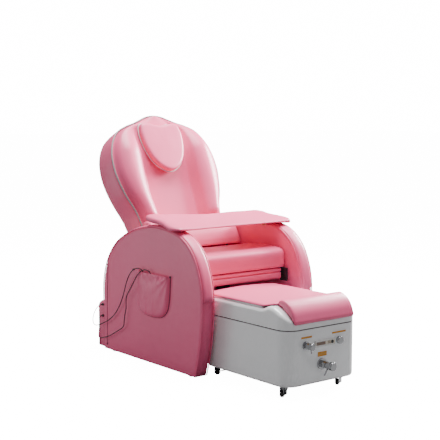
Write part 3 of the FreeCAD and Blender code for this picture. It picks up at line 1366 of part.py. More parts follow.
def softened(shape, radius, along):
    """The shape with the round edges in front of the depth along rounded."""
    rims = [e for e in shape.Edges if isinstance(e.Curve, Part.Circle) and e.BoundBox.YMax < along + 0.5]
    rims = [e for e in rims if e.BoundBox.YLength < 0.1]
    return shape.makeFillet(radius, rims)


def make_controls():
    gap = D.gap
    x, z = D.tap_x, D.tap_z
    spindle = front_round(D.spindle_radius, -D.spindle_in, gap + 1, x, z)
    base = front_round(D.tap_flange, gap, 5, x, z).fuse([front_round(D.tap_boss, 4, 16, x, z), spindle])
    base = base.removeSplitter()
    sub_part("tap_base", formed("tap_base_form", base))
    knob = softened(front_round(D.tap_knob, 16 + gap, D.tap_reach, x, z), 3, D.tub_front - D.tap_reach)
    lever = Part.makeCone(3, 2.2, D.tap_knob + 16, Vector(x, D.tub_front - 30, z), Vector(0, -0.25, -1))
    sub_part("tap_handle", formed("tap_handle_form", knob.fuse(lever).removeSplitter()))

    x, z = D.waste_x, D.waste_z
    spindle = front_round(D.spindle_radius, -D.spindle_in, gap + 1, x, z)
    base = front_round(D.waste_flange, gap, 8, x, z).fuse([front_round(D.waste_boss, 7, 34, x, z), spindle])
    base = base.removeSplitter()
    sub_part("waste_base", formed("waste_base_form", base))
    neck = front_round(D.waste_boss - 2, 34 + gap, 58, x, z)
    cap = softened(front_round(D.waste_knob, 57, D.waste_reach, x, z), 3.5, D.tub_front - D.waste_reach)
    lever = Part.makeCone(4, 3, 46, Vector(x, D.tub_front - 46, z), Vector(-0.8, -0.1, -1))
    sub_part("waste_knob", formed("waste_knob_form", neck.fuse([cap, lever]).removeSplitter()))

    x, z = D.air_x, D.air_z
    knob = softened(front_round(D.air_radius, gap, D.air_reach, x, z), 2.5, D.tub_front - D.air_reach)
    stem = front_round(D.spindle_radius, -D.spindle_in, gap + 1, x, z)
    sub_part("air_knob", formed("air_knob_form", knob.fuse(stem).removeSplitter()))

    face = "D.tub_front - D.gap"
    proud = f"{face} - D.panel_thick_y"
    bezel = block(
        "bezel", ("D.panel_low_x", "D.panel_high_x"), (proud, face), ("D.panel_low_z", "D.panel_high_z")
    )
    spot = ("D.panel_high_x - D.button_inset", "(D.panel_low_z + D.panel_high_z) / 2")
    well_span = (f"{proud} - 1", f"{face} - D.panel_floor")
    well = rod("button_well", "y", "D.button_radius + D.well_clear", well_span, spot)
    sub_part("control_panel", cut("panel_form", bezel, [well]))
    button_span = (f"{proud} - D.button_travel", f"{face} - D.panel_floor - D.button_travel - D.gap")
    sub_part("power_button", rod("button_body", "y", "D.button_radius", button_span, spot))
    plates = []
    spots = [("-162", "-103", "246.5", "254"), ("14", "93", "246.5", "253.5"), ("-68", "-17", "160", "179")]
    for number, (x0, x1, z0, z1) in enumerate(spots):
        plates.append(block(f"label_{number}", (x0, x1), (f"{face} - D.label_thick", face), (z0, z1)))
    sub_part("label_plates", group("label_set", plates))


# Casters


def wheel_shape(x, y, along=Vector(1, 0, 0)):
    """A small wheel with a rounded tread, its centre at wheel height."""
    half = D.wheel_width / 2
    centre = Vector(x, y, D.wheel_radius)
    disc = Part.makeCylinder(D.wheel_radius, D.wheel_width, centre - along * half, along)
    rims = [edge for edge in disc.Edges if isinstance(edge.Curve, Part.Circle)]
    return disc.makeFillet(3, rims)


def make_casters():
    trail = Vector(D.caster_trail_x, D.caster_trail_y, 0)
    across = unit(Vector(-trail.y, trail.x, 0))
    for side, sign in (("right", -1), ("left", 1)):
        stem_at = Vector(D.tub_shift + sign * D.caster_x, D.caster_front, 0)
        hub = stem_at + trail
        wheel = wheel_shape(hub.x, hub.y, across)
        reach = D.wheel_width / 2 + D.fork_side_gap + D.fork_sheet
        axle_start = Vector(hub.x, hub.y, D.wheel_radius) - across * reach
        axle = Part.makeCylinder(D.axle_radius, 2 * reach, axle_start, across)
        sub_part(f"caster_wheel_{side}", formed(f"wheel_{side}", wheel.fuse(axle).removeSplitter()))
        top = D.chassis_low - D.gap
        stem_foot = Vector(stem_at.x, stem_at.y, top - 0.5)
        stem = Part.makeCylinder(D.stem_radius, D.chassis_thick + D.gap, stem_foot)
        clear = D.wheel_radius * 2 + 2
        plate_high = top - clear
        crown = Part.makeCylinder(16, plate_high, Vector(stem_at.x, stem_at.y, clear))
        pieces = [stem]
        angle = math.degrees(math.atan2(across.y, across.x))
        for way in (-1, 1):
            low_x = way * (reach - D.fork_sheet / 2) - D.fork_sheet / 2
            cheek = Part.makeBox(D.fork_sheet, trail.Length + 14, top - D.wheel_radius + 6)
            cheek.translate(Vector(low_x, -trail.Length - 7, D.wheel_radius - 6))
            hole = Part.makeCylinder(
                D.axle_radius + D.run_clear, 40, Vector(-20, -trail.Length, D.wheel_radius), Vector(1, 0, 0))
            cheek = cheek.cut(hole)
            cheek.rotate(Vector(), Vector(0, 0, 1), angle)
            cheek.translate(stem_at)
            pieces.append(cheek)
        fork = crown.fuse(pieces).removeSplitter()
        sub_part(f"caster_fork_{side}", formed(f"fork_{side}", fork))
    pair = []
    for sign in (-1, 1):
        pair.append(wheel_shape(D.tub_shift + sign * D.caster_x, D.caster_rear))
    reach = D.caster_x + D.wheel_width / 2 + D.fork_side_gap + D.fork_sheet
    axle = Part.makeCylinder(
        D.axle_radius, 2 * reach, Vector(D.tub_shift - reach, D.caster_rear, D.wheel_radius), Vector(1, 0, 0))
    sub_part("rear_wheels", formed("rear_wheel_set", axle.fuse(pair).removeSplitter()))


make_arms()
make_seat()
make_legrest()
make_back()
make_base()
make_rear()
make_pocket()
make_handsets()
make_cords()
make_tray()
make_tub_skirt()
make_tub_basin()
make_tub_chassis()
make_pump()
make_cover()
make_controls()
make_casters()
doc.recompute()

# Every object must be sound before anything is written.
for item in doc.Objects:
    if "Invalid" in item.State or "Error" in item.State:
        raise ValueError(f"{item.Label} failed: {item.State}")
for piece in nodes:
    if piece.Shape.isNull() or not piece.Shape.isValid():
        raise ValueError(f"{piece.Label} has no valid shape")
os.makedirs("parts", exist_ok=True)
for piece in nodes:
    piece.Shape.exportStep(f"parts/{piece.Label}.step")
print(len(nodes), "sub-parts written")
low_y = min(piece.Shape.BoundBox.YMin for piece in nodes)
high_y = max(piece.Shape.BoundBox.YMax for piece in nodes)
print("front", round(low_y, 2), "rear", round(high_y, 2), "middle", round((low_y + high_y) / 2, 3))
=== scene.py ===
# %% [markdown]
# # Pedicure spa chair
# A salon recliner in pink artificial leather, with rounded side arms, a lap tray and a white foot
# bath under a padded cover. Its plain solids come as a fixed frame, packed from the part's source.
# They could be rendered as they are, but leather over foam has no such flat faces and sharp edges.
# So each soft piece is modelled again as a mesh in the space that its solid holds, while the hard
# pieces keep their solids. Every surface gets a procedural material, which is made of nodes.

# %% Load the frame
import bpy
import bmesh
import json
import math
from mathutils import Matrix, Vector, noise


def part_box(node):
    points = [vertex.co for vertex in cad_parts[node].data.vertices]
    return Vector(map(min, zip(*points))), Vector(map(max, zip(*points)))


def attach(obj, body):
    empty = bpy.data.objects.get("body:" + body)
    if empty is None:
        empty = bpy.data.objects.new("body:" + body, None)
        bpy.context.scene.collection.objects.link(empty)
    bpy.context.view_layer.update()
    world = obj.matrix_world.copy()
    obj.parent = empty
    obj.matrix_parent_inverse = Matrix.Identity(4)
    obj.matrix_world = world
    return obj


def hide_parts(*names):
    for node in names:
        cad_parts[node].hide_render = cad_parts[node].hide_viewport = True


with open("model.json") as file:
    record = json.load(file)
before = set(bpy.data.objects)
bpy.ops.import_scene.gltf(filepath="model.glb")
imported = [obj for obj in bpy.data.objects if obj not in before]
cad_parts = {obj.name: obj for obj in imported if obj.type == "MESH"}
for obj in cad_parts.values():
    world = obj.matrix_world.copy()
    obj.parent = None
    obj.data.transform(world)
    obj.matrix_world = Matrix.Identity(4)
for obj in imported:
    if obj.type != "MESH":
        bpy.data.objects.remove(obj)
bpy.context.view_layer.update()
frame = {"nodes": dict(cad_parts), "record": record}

# %% [markdown]
# ## Places
# Most of the chair stands square on the floor, but the backrest leans back by 26 degrees. Empties
# could carry both sets of axes, with the pieces as their children. Two functions do the same with
# less: `place` takes y from the front foot of the arms, and `on_back` takes x, the depth into the
# backrest and the height up its slope. Every length in this script is in metres.

# %% Places on the chair and on its backrest
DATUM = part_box("arm_core_right")[0].y + 0.051
LEAN = math.radians(26.0)
BACK_FOOT_Y, BACK_FOOT_Z = 0.481, 0.526


def place(x, y, z):
    """A place on the chair, with y from the front foot of the arms."""
    return Vector((x, y + DATUM, z))


def on_back(x, depth, up):
    """A place on the backrest, with its depth and its height up the slope."""
    y = BACK_FOOT_Y + depth * math.cos(LEAN) + up * math.sin(LEAN)
    z = BACK_FOOT_Z - depth * math.sin(LEAN) + up * math.cos(LEAN)
    return place(x, y, z)


print("front foot of the arms at y", round(DATUM, 4))

# %% [markdown]
# ## Camera
# The camera stands in front of the right arm, as high as the backrest. It could be moved by eye until
# the picture fits. Here its place, its turn and its focal length were solved from the floor contacts
# and the parallel edges of the chair, because by eye one wrong value hides another.

# %% Camera
CAMERA_YAW, CAMERA_PITCH = math.radians(-38.28), math.radians(5.774)
CAMERA_SPOT = place(-2.9559947, -3.5117249, 1.15)
FOCAL_LENGTH, SENSOR_WIDTH = 83.29, 36

camera_data = bpy.data.cameras.new("camera")
camera_data.lens = FOCAL_LENGTH
camera_data.sensor_width = SENSOR_WIDTH
camera = bpy.data.objects.new("camera", camera_data)
bpy.context.scene.collection.objects.link(camera)
camera.location = CAMERA_SPOT
backwards = Vector((
    math.sin(CAMERA_YAW) * math.cos(CAMERA_PITCH),
    -math.cos(CAMERA_YAW) * math.cos(CAMERA_PITCH),
    math.sin(CAMERA_PITCH),
))
camera.rotation_mode = "QUATERNION"
camera.rotation_quaternion = (-backwards).to_track_quat("-Z", "Y")
bpy.context.scene.camera = camera
print("camera", round(camera.location.length, 2), "m from the frame's origin")

# %% [markdown]
# ## Handset cords: routes
# Two thin black cords leave the side pocket, hang in loose bows along the arm and go into the low
# housing at the rear. A rope simulation could let them fall, but hardly into the bows of these two.
# So each route is a list of control points beside the arm, the same as the solid's, and it turns no
# tighter than such a cord can.

# %% Routes of the two cords
POCKET_X = -0.3363
CORD_ONE = [
    (POCKET_X, 0.378, 0.394), (POCKET_X, 0.378, 0.414), (-0.3373, 0.382, 0.436),
    (-0.3433, 0.395, 0.449), (-0.350, 0.417, 0.450), (-0.351, 0.452, 0.436),
    (-0.349, 0.484, 0.408), (-0.346, 0.512, 0.372), (-0.343, 0.535, 0.326),
    (-0.341, 0.560, 0.280), (-0.340, 0.588, 0.240), (-0.339, 0.622, 0.203),
    (-0.340, 0.664, 0.171), (-0.342, 0.709, 0.147), (-0.346, 0.753, 0.129),
    (-0.349, 0.787, 0.118), (-0.350, 0.808, 0.122), (-0.350, 0.817, 0.140),
    (-0.350, 0.812, 0.162), (-0.349, 0.801, 0.184), (-0.347, 0.789, 0.201),
    (-0.344, 0.779, 0.213), (-0.339, 0.768, 0.224), (-0.3273, 0.768, 0.224),
]
CORD_TWO = [
    (POCKET_X, 0.318, 0.394), (POCKET_X, 0.318, 0.414), (-0.3373, 0.322, 0.436),
    (-0.3433, 0.335, 0.449), (-0.350, 0.362, 0.449), (-0.351, 0.397, 0.431),
    (-0.351, 0.430, 0.397), (-0.350, 0.462, 0.357), (-0.348, 0.494, 0.324),
    (-0.346, 0.516, 0.298), (-0.344, 0.520, 0.270), (-0.343, 0.522, 0.240),
    (-0.342, 0.536, 0.206), (-0.341, 0.543, 0.176), (-0.340, 0.547, 0.153),
    (-0.340, 0.570, 0.136), (-0.340, 0.615, 0.114), (-0.340, 0.660, 0.091),
    (-0.340, 0.702, 0.074), (-0.340, 0.742, 0.063), (-0.340, 0.767, 0.055),
    (-0.340, 0.779, 0.062), (-0.340, 0.777, 0.082), (-0.340, 0.773, 0.108),
    (-0.341, 0.769, 0.134), (-0.342, 0.768, 0.153), (-0.338, 0.768, 0.168),
    (-0.3273, 0.768, 0.168),
]
print("control points:", len(CORD_ONE), "and", len(CORD_TWO))

# %% [markdown]
# ## Handset cords: from route to cord
# A tube of faces would do, but a curve object draws a round cord by itself, because its bevel gives it
# width, and its length stays easy to read. Blender counts each point's radius in the curve's bounds,
# so the points get a small radius and the bevel makes up for it.

# %% Cords as smooth curves
CORD_WIDTH, POINT_RADIUS = 0.0045, 0.002
POINTS_PER_BEND, STEPS_ALONG, STEPS_ROUND = 3, 8, 3


def smooth_cord(name, points, node):
    """A black cord along its control points, in place of its node's solid."""
    curve = bpy.data.curves.new(name, "CURVE")
    curve.dimensions = "3D"
    spline = curve.splines.new("NURBS")
    spline.points.add(len(points) - 1)
    for target, (x, y, z) in zip(spline.points, points):
        target.co = (*place(x, y, z), 1.0)
        target.radius = POINT_RADIUS
    spline.order_u = POINTS_PER_BEND
    spline.use_endpoint_u = True
    spline.resolution_u = STEPS_ALONG
    curve.bevel_depth = CORD_WIDTH / 2 / POINT_RADIUS
    curve.bevel_resolution = STEPS_ROUND
    cord = bpy.data.objects.new(name, curve)
    bpy.context.scene.collection.objects.link(cord)
    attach(cord, "root")
    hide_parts(node)
    return cord


cords = [
    smooth_cord("cord_one", CORD_ONE, "handset_cord_one"),
    smooth_cord("cord_two", CORD_TWO, "handset_cord_two"),
]
print("cords:", [cord.name for cord in cords])

# %% [markdown]
# ## Helpers for nodes
# A material is a tree of nodes. It could be drawn by hand in the shader editor, but a script that
# builds it can be read and run again. These helpers make a group with named sockets, add a node with
# its values, mix two colours, spread a value over a range, and turn a height into a bumped normal.

# %% Groups and nodes
def new_group(name, inputs, outputs):
    """A shader group with named sockets, and its two end nodes."""
    group = bpy.data.node_groups.new(name, "ShaderNodeTree")
    for title, kind, value in inputs:
        socket = group.interface.new_socket(title, in_out="INPUT", socket_type=kind)
        socket.default_value = value
    for title, kind in outputs:
        group.interface.new_socket(title, in_out="OUTPUT", socket_type=kind)
    start = group.nodes.new("NodeGroupInput")
    finish = group.nodes.new("NodeGroupOutput")
    return group, start, finish


def add_node(tree, kind, links=(), **values):
    """A node with its values set, fed by (its input, another node's output) pairs."""
    node = tree.nodes.new(kind)
    for title, value in values.items():
        if title in node.inputs:
            node.inputs[title].default_value = value
        else:
            setattr(node, title, value)
    for target, source in links:
        tree.links.new(source, node.inputs[target])
    return node

# %% Mixing, spreading and bumping
def mixed(tree, factor, first, second):
    """A colour mix, whose sides are colours or other nodes' outputs."""
    node = tree.nodes.new("ShaderNodeMix")
    node.data_type = "RGBA"
    node.blend_type = "MIX"
    for socket, value in ((node.inputs[0], factor), (node.inputs[6], first), (node.inputs[7], second)):
        if isinstance(value, bpy.types.NodeSocket):
            tree.links.new(value, socket)
        else:
            socket.default_value = value
    return node.outputs[2]


def scaled(tree, source, low, high):
    """A value from 0 to 1 spread from low to high."""
    node = add_node(tree, "ShaderNodeMapRange", [(0, source)])
    node.inputs[3].default_value = low
    node.inputs[4].default_value = high
    return node.outputs[0]


def bump(tree, height, distance, strength, below=None):
    """A normal from a height of that many metres, over another bump if one is below it."""
    links = [("Height", height)]
    if below:
        links.append(("Normal", below))
    node = add_node(tree, "ShaderNodeBump", links, Strength=strength, Distance=distance)
    return node.outputs["Normal"]

# %% [markdown]
# ## Leather
# The upholstery is smooth artificial leather, with fine pores, faint creases and slow changes of tone.
# A photographed texture could show them, but it needs unwrapped surfaces and repeats itself. Noise and
# cells in the object's own space fit every piece at their real size. One group serves the pink leather,
# the piping and the seams, each with its own colours.

# %% Leather skin
SKIN_OUTPUTS = [
    ("Color", "NodeSocketColor"), ("Roughness", "NodeSocketFloat"), ("Normal", "NodeSocketVector"),
]


def leather_group():
    """Fine pores, faint creases and slow changes of tone."""
    group, start, finish = new_group(
        "LeatherSkin",
        [("Tint", "NodeSocketColor", (0.8, 0.3, 0.4, 1)), ("Deep", "NodeSocketColor", (0.6, 0.15, 0.22, 1))],
        SKIN_OUTPUTS,
    )
    spot = add_node(group, "ShaderNodeTexCoord").outputs["Object"]
    slow = add_node(group, "ShaderNodeTexNoise", [("Vector", spot)], Scale=3.5, Detail=3.0)
    creases = add_node(
        group, "ShaderNodeTexNoise", [("Vector", spot)], Scale=38.0, Detail=5.0, Distortion=0.6,
    )
    pores = add_node(group, "ShaderNodeTexVoronoi", [("Vector", spot)], Scale=620.0)
    cells = add_node(
        group, "ShaderNodeTexVoronoi", [("Vector", spot)], Scale=260.0, feature="DISTANCE_TO_EDGE",
    )
    toned = mixed(group, scaled(group, slow.outputs[0], 0.0, 0.32), start.outputs[0], start.outputs[1])
    pitted = mixed(group, scaled(group, pores.outputs[0], 0.08, 0.0), toned, start.outputs[1])
    swell = bump(group, slow.outputs[0], 0.006, 0.25)
    crinkle = bump(group, creases.outputs[0], 0.0012, 0.22, swell)
    grain = bump(group, cells.outputs[0], 0.0005, 0.12, crinkle)
    fine = bump(group, pores.outputs[0], 0.0003, 0.15, grain)
    group.links.new(pitted, finish.inputs["Color"])
    group.links.new(scaled(group, creases.outputs[0], 0.36, 0.5), finish.inputs["Roughness"])
    group.links.new(fine, finish.inputs["Normal"])
    return group


LEATHER = leather_group()
print(LEATHER.name, "has", len(LEATHER.nodes), "nodes")

# %% [markdown]
# ## Moulded and painted surfaces
# The foot bath is glossy moulded plastic, and small parts are matt plastic, rubber or paint. None is
# quite even: the tone drifts, dust settles, and the gloss has a fine orange peel. One flat colour would
# look drawn, and a texture for each part would be much work. So one group adds these changes to all
# of them, too weak to be noticed for themselves.

# %% Moulded skin
def low_to_high(group, start, source):
    """A value from 0 to 1 spread between the group's own Low and High inputs."""
    ends = [(0, source), (3, start.outputs["Low"]), (4, start.outputs["High"])]
    return add_node(group, "ShaderNodeMapRange", ends).outputs[0]


def plain_group():
    """Moulded or painted surfaces: a slow change of tone, some dust and a fine orange peel."""
    group, start, finish = new_group(
        "MouldedSkin",
        [
            ("Tint", "NodeSocketColor", (0.8, 0.8, 0.8, 1)), ("Worn", "NodeSocketColor", (0.7, 0.7, 0.7, 1)),
            ("Low", "NodeSocketFloat", 0.2), ("High", "NodeSocketFloat", 0.3),
            ("Grain", "NodeSocketFloat", 300.0),
        ],
        SKIN_OUTPUTS,
    )
    spot = add_node(group, "ShaderNodeTexCoord").outputs["Object"]
    slow = add_node(group, "ShaderNodeTexNoise", [("Vector", spot)], Scale=9.0, Detail=4.0)
    fine = add_node(
        group, "ShaderNodeTexNoise", [("Vector", spot), ("Scale", start.outputs["Grain"])], Detail=2.0,
    )
    share = scaled(group, slow.outputs[0], 0.0, 0.5)
    toned = mixed(group, share, start.outputs["Tint"], start.outputs["Worn"])
    group.links.new(toned, finish.inputs["Color"])
    group.links.new(low_to_high(group, start, slow.outputs[0]), finish.inputs["Roughness"])
    group.links.new(bump(group, fine.outputs[0], 0.0004, 0.1), finish.inputs["Normal"])
    return group


MOULDED = plain_group()
print(MOULDED.name, "has", len(MOULDED.nodes), "nodes")

# %% [markdown]
# ## Metal
# Tap, knobs and levers are chromed, and the hidden brackets are zinc-plated steel. A metal's colour
# comes mostly from what it mirrors, so a colour texture would add little. What tells one metal from
# another is its roughness: the group gives it fine streaks along X, with a few duller patches.

# %% Metal skin
DULL_METAL, STREAK_SCALE = (0.35, 0.35, 0.36, 1), (8, 260, 260)


def metal_group():
    """Brushed or plated metal: fine streaks along X and duller patches."""
    group, start, finish = new_group(
        "MetalSkin",
        [
            ("Tint", "NodeSocketColor", (0.6, 0.6, 0.62, 1)),
            ("Low", "NodeSocketFloat", 0.15), ("High", "NodeSocketFloat", 0.4),
        ],
        SKIN_OUTPUTS,
    )
    spot = add_node(group, "ShaderNodeTexCoord").outputs["Object"]
    stretched = add_node(group, "ShaderNodeMapping", [("Vector", spot)])
    stretched.inputs["Scale"].default_value = STREAK_SCALE
    streaks = add_node(group, "ShaderNodeTexNoise", [("Vector", stretched.outputs[0])], Scale=6.0, Detail=3.0)
    slow = add_node(group, "ShaderNodeTexNoise", [("Vector", spot)], Scale=25.0, Detail=3.0)
    dull = mixed(group, scaled(group, slow.outputs[0], 0.0, 0.4), start.outputs["Tint"], DULL_METAL)
    group.links.new(dull, finish.inputs["Color"])
    group.links.new(low_to_high(group, start, streaks.outputs[0]), finish.inputs["Roughness"])
    group.links.new(bump(group, streaks.outputs[0], 0.0002, 0.15), finish.inputs["Normal"])
    return group


METAL = metal_group()
print(METAL.name, "has", len(METAL.nodes), "nodes")

# %% [markdown]
# ## Materials: leather, piping and seams
# Each finish could have a tree of its own. Here a material is one Principled shader fed by one of the
# groups, so the finishes differ only in the values that are read here. A thin, rather rough coat gives
# the pink leather its soft shine. The seams are the same leather in shadow, so they are a deep red.

# %% A material from a group
def material(name, group, colours, values=(), **shader):
    """A material whose colour, roughness and normal come from a group."""
    made = bpy.data.materials.new(name)
    made.use_nodes = True
    tree = made.node_tree
    principled = tree.nodes["Principled BSDF"]
    skin_node = tree.nodes.new("ShaderNodeGroup")
    skin_node.node_tree = group
    for title, value in [*colours, *values]:
        skin_node.inputs[title].default_value = (*value, 1) if isinstance(value, tuple) else value
    tree.links.new(skin_node.outputs["Color"], principled.inputs["Base Color"])
    tree.links.new(skin_node.outputs["Roughness"], principled.inputs["Roughness"])
    tree.links.new(skin_node.outputs["Normal"], principled.inputs["Normal"])
    for title, value in shader.items():
        principled.inputs[title.replace("_", " ")].default_value = value
    return made

# %% Leather, piping and seams
pink = material(
    "pink_leather", LEATHER, [("Tint", (0.85, 0.118, 0.268)), ("Deep", (0.75, 0.086, 0.21))],
    Coat_Weight=0.3, Coat_Roughness=0.3, Specular_IOR_Level=0.4,
)
# painted shade: the pink leather darkened to a deep red, as it looks in the shadow of a seam
seam = material(
    "seam_painted_shade", LEATHER, [("Tint", (0.24, 0.022, 0.055)), ("Deep", (0.15, 0.012, 0.032))],
    Specular_IOR_Level=0.3,
)
piping = material(
    "grey_piping", LEATHER, [("Tint", (0.33, 0.30, 0.305)), ("Deep", (0.22, 0.19, 0.195))],
    Coat_Weight=0.15, Coat_Roughness=0.3,
)
pale_piping = material(
    "pale_piping", LEATHER, [("Tint", (0.66, 0.63, 0.63)), ("Deep", (0.52, 0.49, 0.49))],
    Coat_Weight=0.15, Coat_Roughness=0.3,
)
print("leathers:", [made.name for made in (pink, seam, piping, pale_piping)])

# %% [markdown]
# ## Materials: plastic, rubber, paint and metal
# The white foot bath is the glossiest piece, with a strong clear coat. Rubber, paint and black plastic
# are all nearly black and could share one material, but they differ in roughness and in the size of
# their grain, and that is what shows at their edges.

# %% Plastic, rubber, paint and metal
def moulded(name, tint, worn, low, high, grain=300.0, **shader):
    """A moulded or painted finish, with its roughness from low to high."""
    values = [("Low", low), ("High", high), ("Grain", grain)]
    return material(name, MOULDED, [("Tint", tint), ("Worn", worn)], values, **shader)


white = moulded(
    "white_tub", (0.88, 0.885, 0.905), (0.84, 0.845, 0.87), 0.12, 0.2, 120.0,
    Coat_Weight=0.8, Coat_Roughness=0.05,
)
chrome = material(
    "chrome_trim", METAL, [("Tint", (0.42, 0.425, 0.44))], [("Low", 0.05), ("High", 0.16)], Metallic=1.0,
)
black = moulded("black_plastic", (0.018, 0.018, 0.019), (0.03, 0.03, 0.03), 0.35, 0.5)
rubber = moulded("black_rubber", (0.012, 0.011, 0.011), (0.024, 0.022, 0.022), 0.4, 0.6, 700.0)
painted = moulded("black_frame", (0.02, 0.02, 0.022), (0.035, 0.034, 0.033), 0.3, 0.45, 900.0)
zinc = material(
    "zinc_steel", METAL, [("Tint", (0.55, 0.56, 0.58))], [("Low", 0.22), ("High", 0.42)], Metallic=1.0,
)
amber = moulded("amber_label", (0.62, 0.27, 0.015), (0.55, 0.22, 0.012), 0.3, 0.42)
motor = moulded("motor_housing", (0.04, 0.04, 0.043), (0.055, 0.054, 0.053), 0.4, 0.55)
others = (white, chrome, black, rubber, painted, zinc, amber, motor)
print("other finishes:", [made.name for made in others])

# %% [markdown]
# ## Plywood
# The cleats under the tray are bare plywood. A picture of wood could be laid on them, but they are
# small and seldom seen. Noise that is stretched along X gives long fibres in pale and dark bands, and
# the same noise makes them a little rough.

# %% Plywood
DARK_WOOD, PALE_WOOD = (0.52, 0.33, 0.17, 1), (0.70, 0.50, 0.30, 1)
FIBRE_SCALE = (1.5, 14, 14)


def plywood():
    """Pale wood with long fibres and darker growth bands."""
    made = bpy.data.materials.new("plywood")
    made.use_nodes = True
    tree = made.node_tree
    spot = add_node(tree, "ShaderNodeTexCoord").outputs["Object"]
    stretched = add_node(tree, "ShaderNodeMapping", [("Vector", spot)])
    stretched.inputs["Scale"].default_value = FIBRE_SCALE
    fibres = add_node(
        tree, "ShaderNodeTexNoise", [("Vector", stretched.outputs[0])], Scale=9.0, Detail=6.0, Distortion=0.8,
    )
    tone = mixed(tree, fibres.outputs[0], DARK_WOOD, PALE_WOOD)
    principled = tree.nodes["Principled BSDF"]
    tree.links.new(tone, principled.inputs["Base Color"])
    tree.links.new(scaled(tree, fibres.outputs[0], 0.5, 0.7), principled.inputs["Roughness"])
    tree.links.new(bump(tree, fibres.outputs[0], 0.0005, 0.3), principled.inputs["Normal"])
    return made


wood = plywood()
print(wood.name, "has", len(wood.node_tree.nodes), "nodes")

# %% [markdown]
# ## Display strip
# The display on the foot bath is a printed film on a flat strip: a brown window at the left, beige keys
# at the right, and a pale margin above and below. Thin solids could be cut for it, but a film has no
# depth to speak of. So steps of colour across the strip and up it do, measured on its own solid's box.

# %% Steps of colour
def between(tree, source, low, high):
    """How far a value has come from low to high, from 0 to 1."""
    node = add_node(tree, "ShaderNodeMapRange", [(0, source)])
    node.inputs[1].default_value = low
    node.inputs[2].default_value = high
    return node.outputs[0]


def colour_steps(tree, share, steps):
    """Colours that change at once where the share reaches each step's place."""
    ramp_node = tree.nodes.new("ShaderNodeValToRGB")
    stops = ramp_node.color_ramp
    stops.interpolation = "CONSTANT"
    for stop, (position, colour) in zip(stops.elements, steps):
        stop.position = position
        stop.color = colour
    for position, colour in steps[2:]:
        stops.elements.new(position).color = colour
    tree.links.new(share, ramp_node.inputs[0])
    return ramp_node.outputs[0]

# %% Display strip
FILM_ZONES = [
    (0.0, (0.55, 0.52, 0.47, 1)), (0.05, (0.16, 0.095, 0.07, 1)), (0.5, (0.62, 0.55, 0.45, 1)),
    (0.62, (0.36, 0.29, 0.22, 1)), (0.78, (0.66, 0.6, 0.5, 1)),
]
MARGIN_ROWS = [(0.0, (1, 1, 1, 1)), (0.24, (0, 0, 0, 1)), (0.76, (1, 1, 1, 1))]
MARGIN_COLOUR = (0.66, 0.65, 0.64, 1)


def display():
    """A brown window and beige keys under a film, between two pale margins."""
    made = bpy.data.materials.new("display_panel")
    made.use_nodes = True
    tree = made.node_tree
    low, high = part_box("control_panel")
    spot = add_node(tree, "ShaderNodeTexCoord").outputs["Object"]
    axes = add_node(tree, "ShaderNodeSeparateXYZ", [(0, spot)])
    zones = colour_steps(tree, between(tree, axes.outputs["X"], low.x, high.x), FILM_ZONES)
    margins = colour_steps(tree, between(tree, axes.outputs["Z"], low.z, high.z), MARGIN_ROWS)
    film = mixed(tree, margins, zones, MARGIN_COLOUR)
    fine = add_node(tree, "ShaderNodeTexNoise", [("Vector", spot)], Scale=240.0, Detail=2.0)
    principled = tree.nodes["Principled BSDF"]
    tree.links.new(film, principled.inputs["Base Color"])
    tree.links.new(scaled(tree, fine.outputs[0], 0.15, 0.3), principled.inputs["Roughness"])
    principled.inputs["Coat Weight"].default_value = 0.5
    return made


panel = display()
print(panel.name, "has", len(panel.node_tree.nodes), "nodes")

# %% [markdown]
# ## Finishes on the solids
# The foot bath's shell, knobs, casters and frames are hard pieces, and their solids already have the
# right shapes. They could be modelled again too, with nothing gained. They only need their finishes,
# and the part's record says which one each of them has.

# %% Finishes on the solids
MATERIALS = {
    "pink_leather": pink, "grey_piping": piping, "white_tub": white, "chrome_trim": chrome,
    "black_plastic": black, "black_rubber": rubber, "black_frame": painted, "zinc_steel": zinc,
    "plywood": wood, "display_panel": panel, "amber_label": amber, "motor_housing": motor,
}
for part in frame["record"]["subparts"]:
    node = frame["nodes"][part["node"]]
    node.data.materials.clear()
    node.data.materials.append(MATERIALS[part["material_slot"]])
for cord in cords:
    cord.data.materials.append(rubber)
print(len(MATERIALS), "materials on", len(frame["nodes"]), "nodes")

# %% [markdown]
# ## A skin over rows of points
# Upholstery is one skin of leather over a shaped body. It could be sculpted, or come out of a cube with
# modifiers. Here each piece is given as rows of points, one section after another, and `skin` lays
# four-sided faces between them. That way each edge lies exactly where it was measured.

# %% A skin over rows of points
SAME_SPOT = 0.00002


def add_object(name, mesh):
    """An object that shows the mesh, linked into the scene."""
    made = bpy.data.objects.new(name, mesh)
    bpy.context.scene.collection.objects.link(made)
    return made


def skin(name, rows, around=False, ends=True):
    """Faces between rows of points. around joins the ends of each row, and ends closes the solid."""
    width = len(rows[0])
    points = [point for row in rows for point in row]
    columns = width if around else width - 1
    faces = []
    for row in range(len(rows) - 1):
        for column in range(columns):
            here = row * width + column
            beside = row * width + (column + 1) % width
            faces.append((here, beside, beside + width, here + width))
    if around and ends:
        for row, turn in ((0, -1), (len(rows) - 1, 1)):
            middle = sum(rows[row], Vector()) / width
            points.append(middle)
            for column in range(width):
                pair = (row * width + column, row * width + (column + 1) % width)
                faces.append((*pair[::turn], len(points) - 1))
    mesh = bpy.data.meshes.new(name)
    mesh.from_pydata(points, [], faces)
    work = bmesh.new()
    work.from_mesh(mesh)
    bmesh.ops.remove_doubles(work, verts=work.verts, dist=SAME_SPOT)
    bmesh.ops.recalc_face_normals(work, faces=work.faces)
    work.to_mesh(mesh)
    work.free()
    mesh.shade_smooth()
    return add_object(name, mesh)

# %% [markdown]
# ## Smooth lines
# Padded pieces have smooth outlines. Blender's curves could be drawn and turned into meshes, but then
# the number of points along them is hard to control. `round_line` runs through a few measured points
# and bends evenly between them, and `normals` tells which way is out at each of its points.

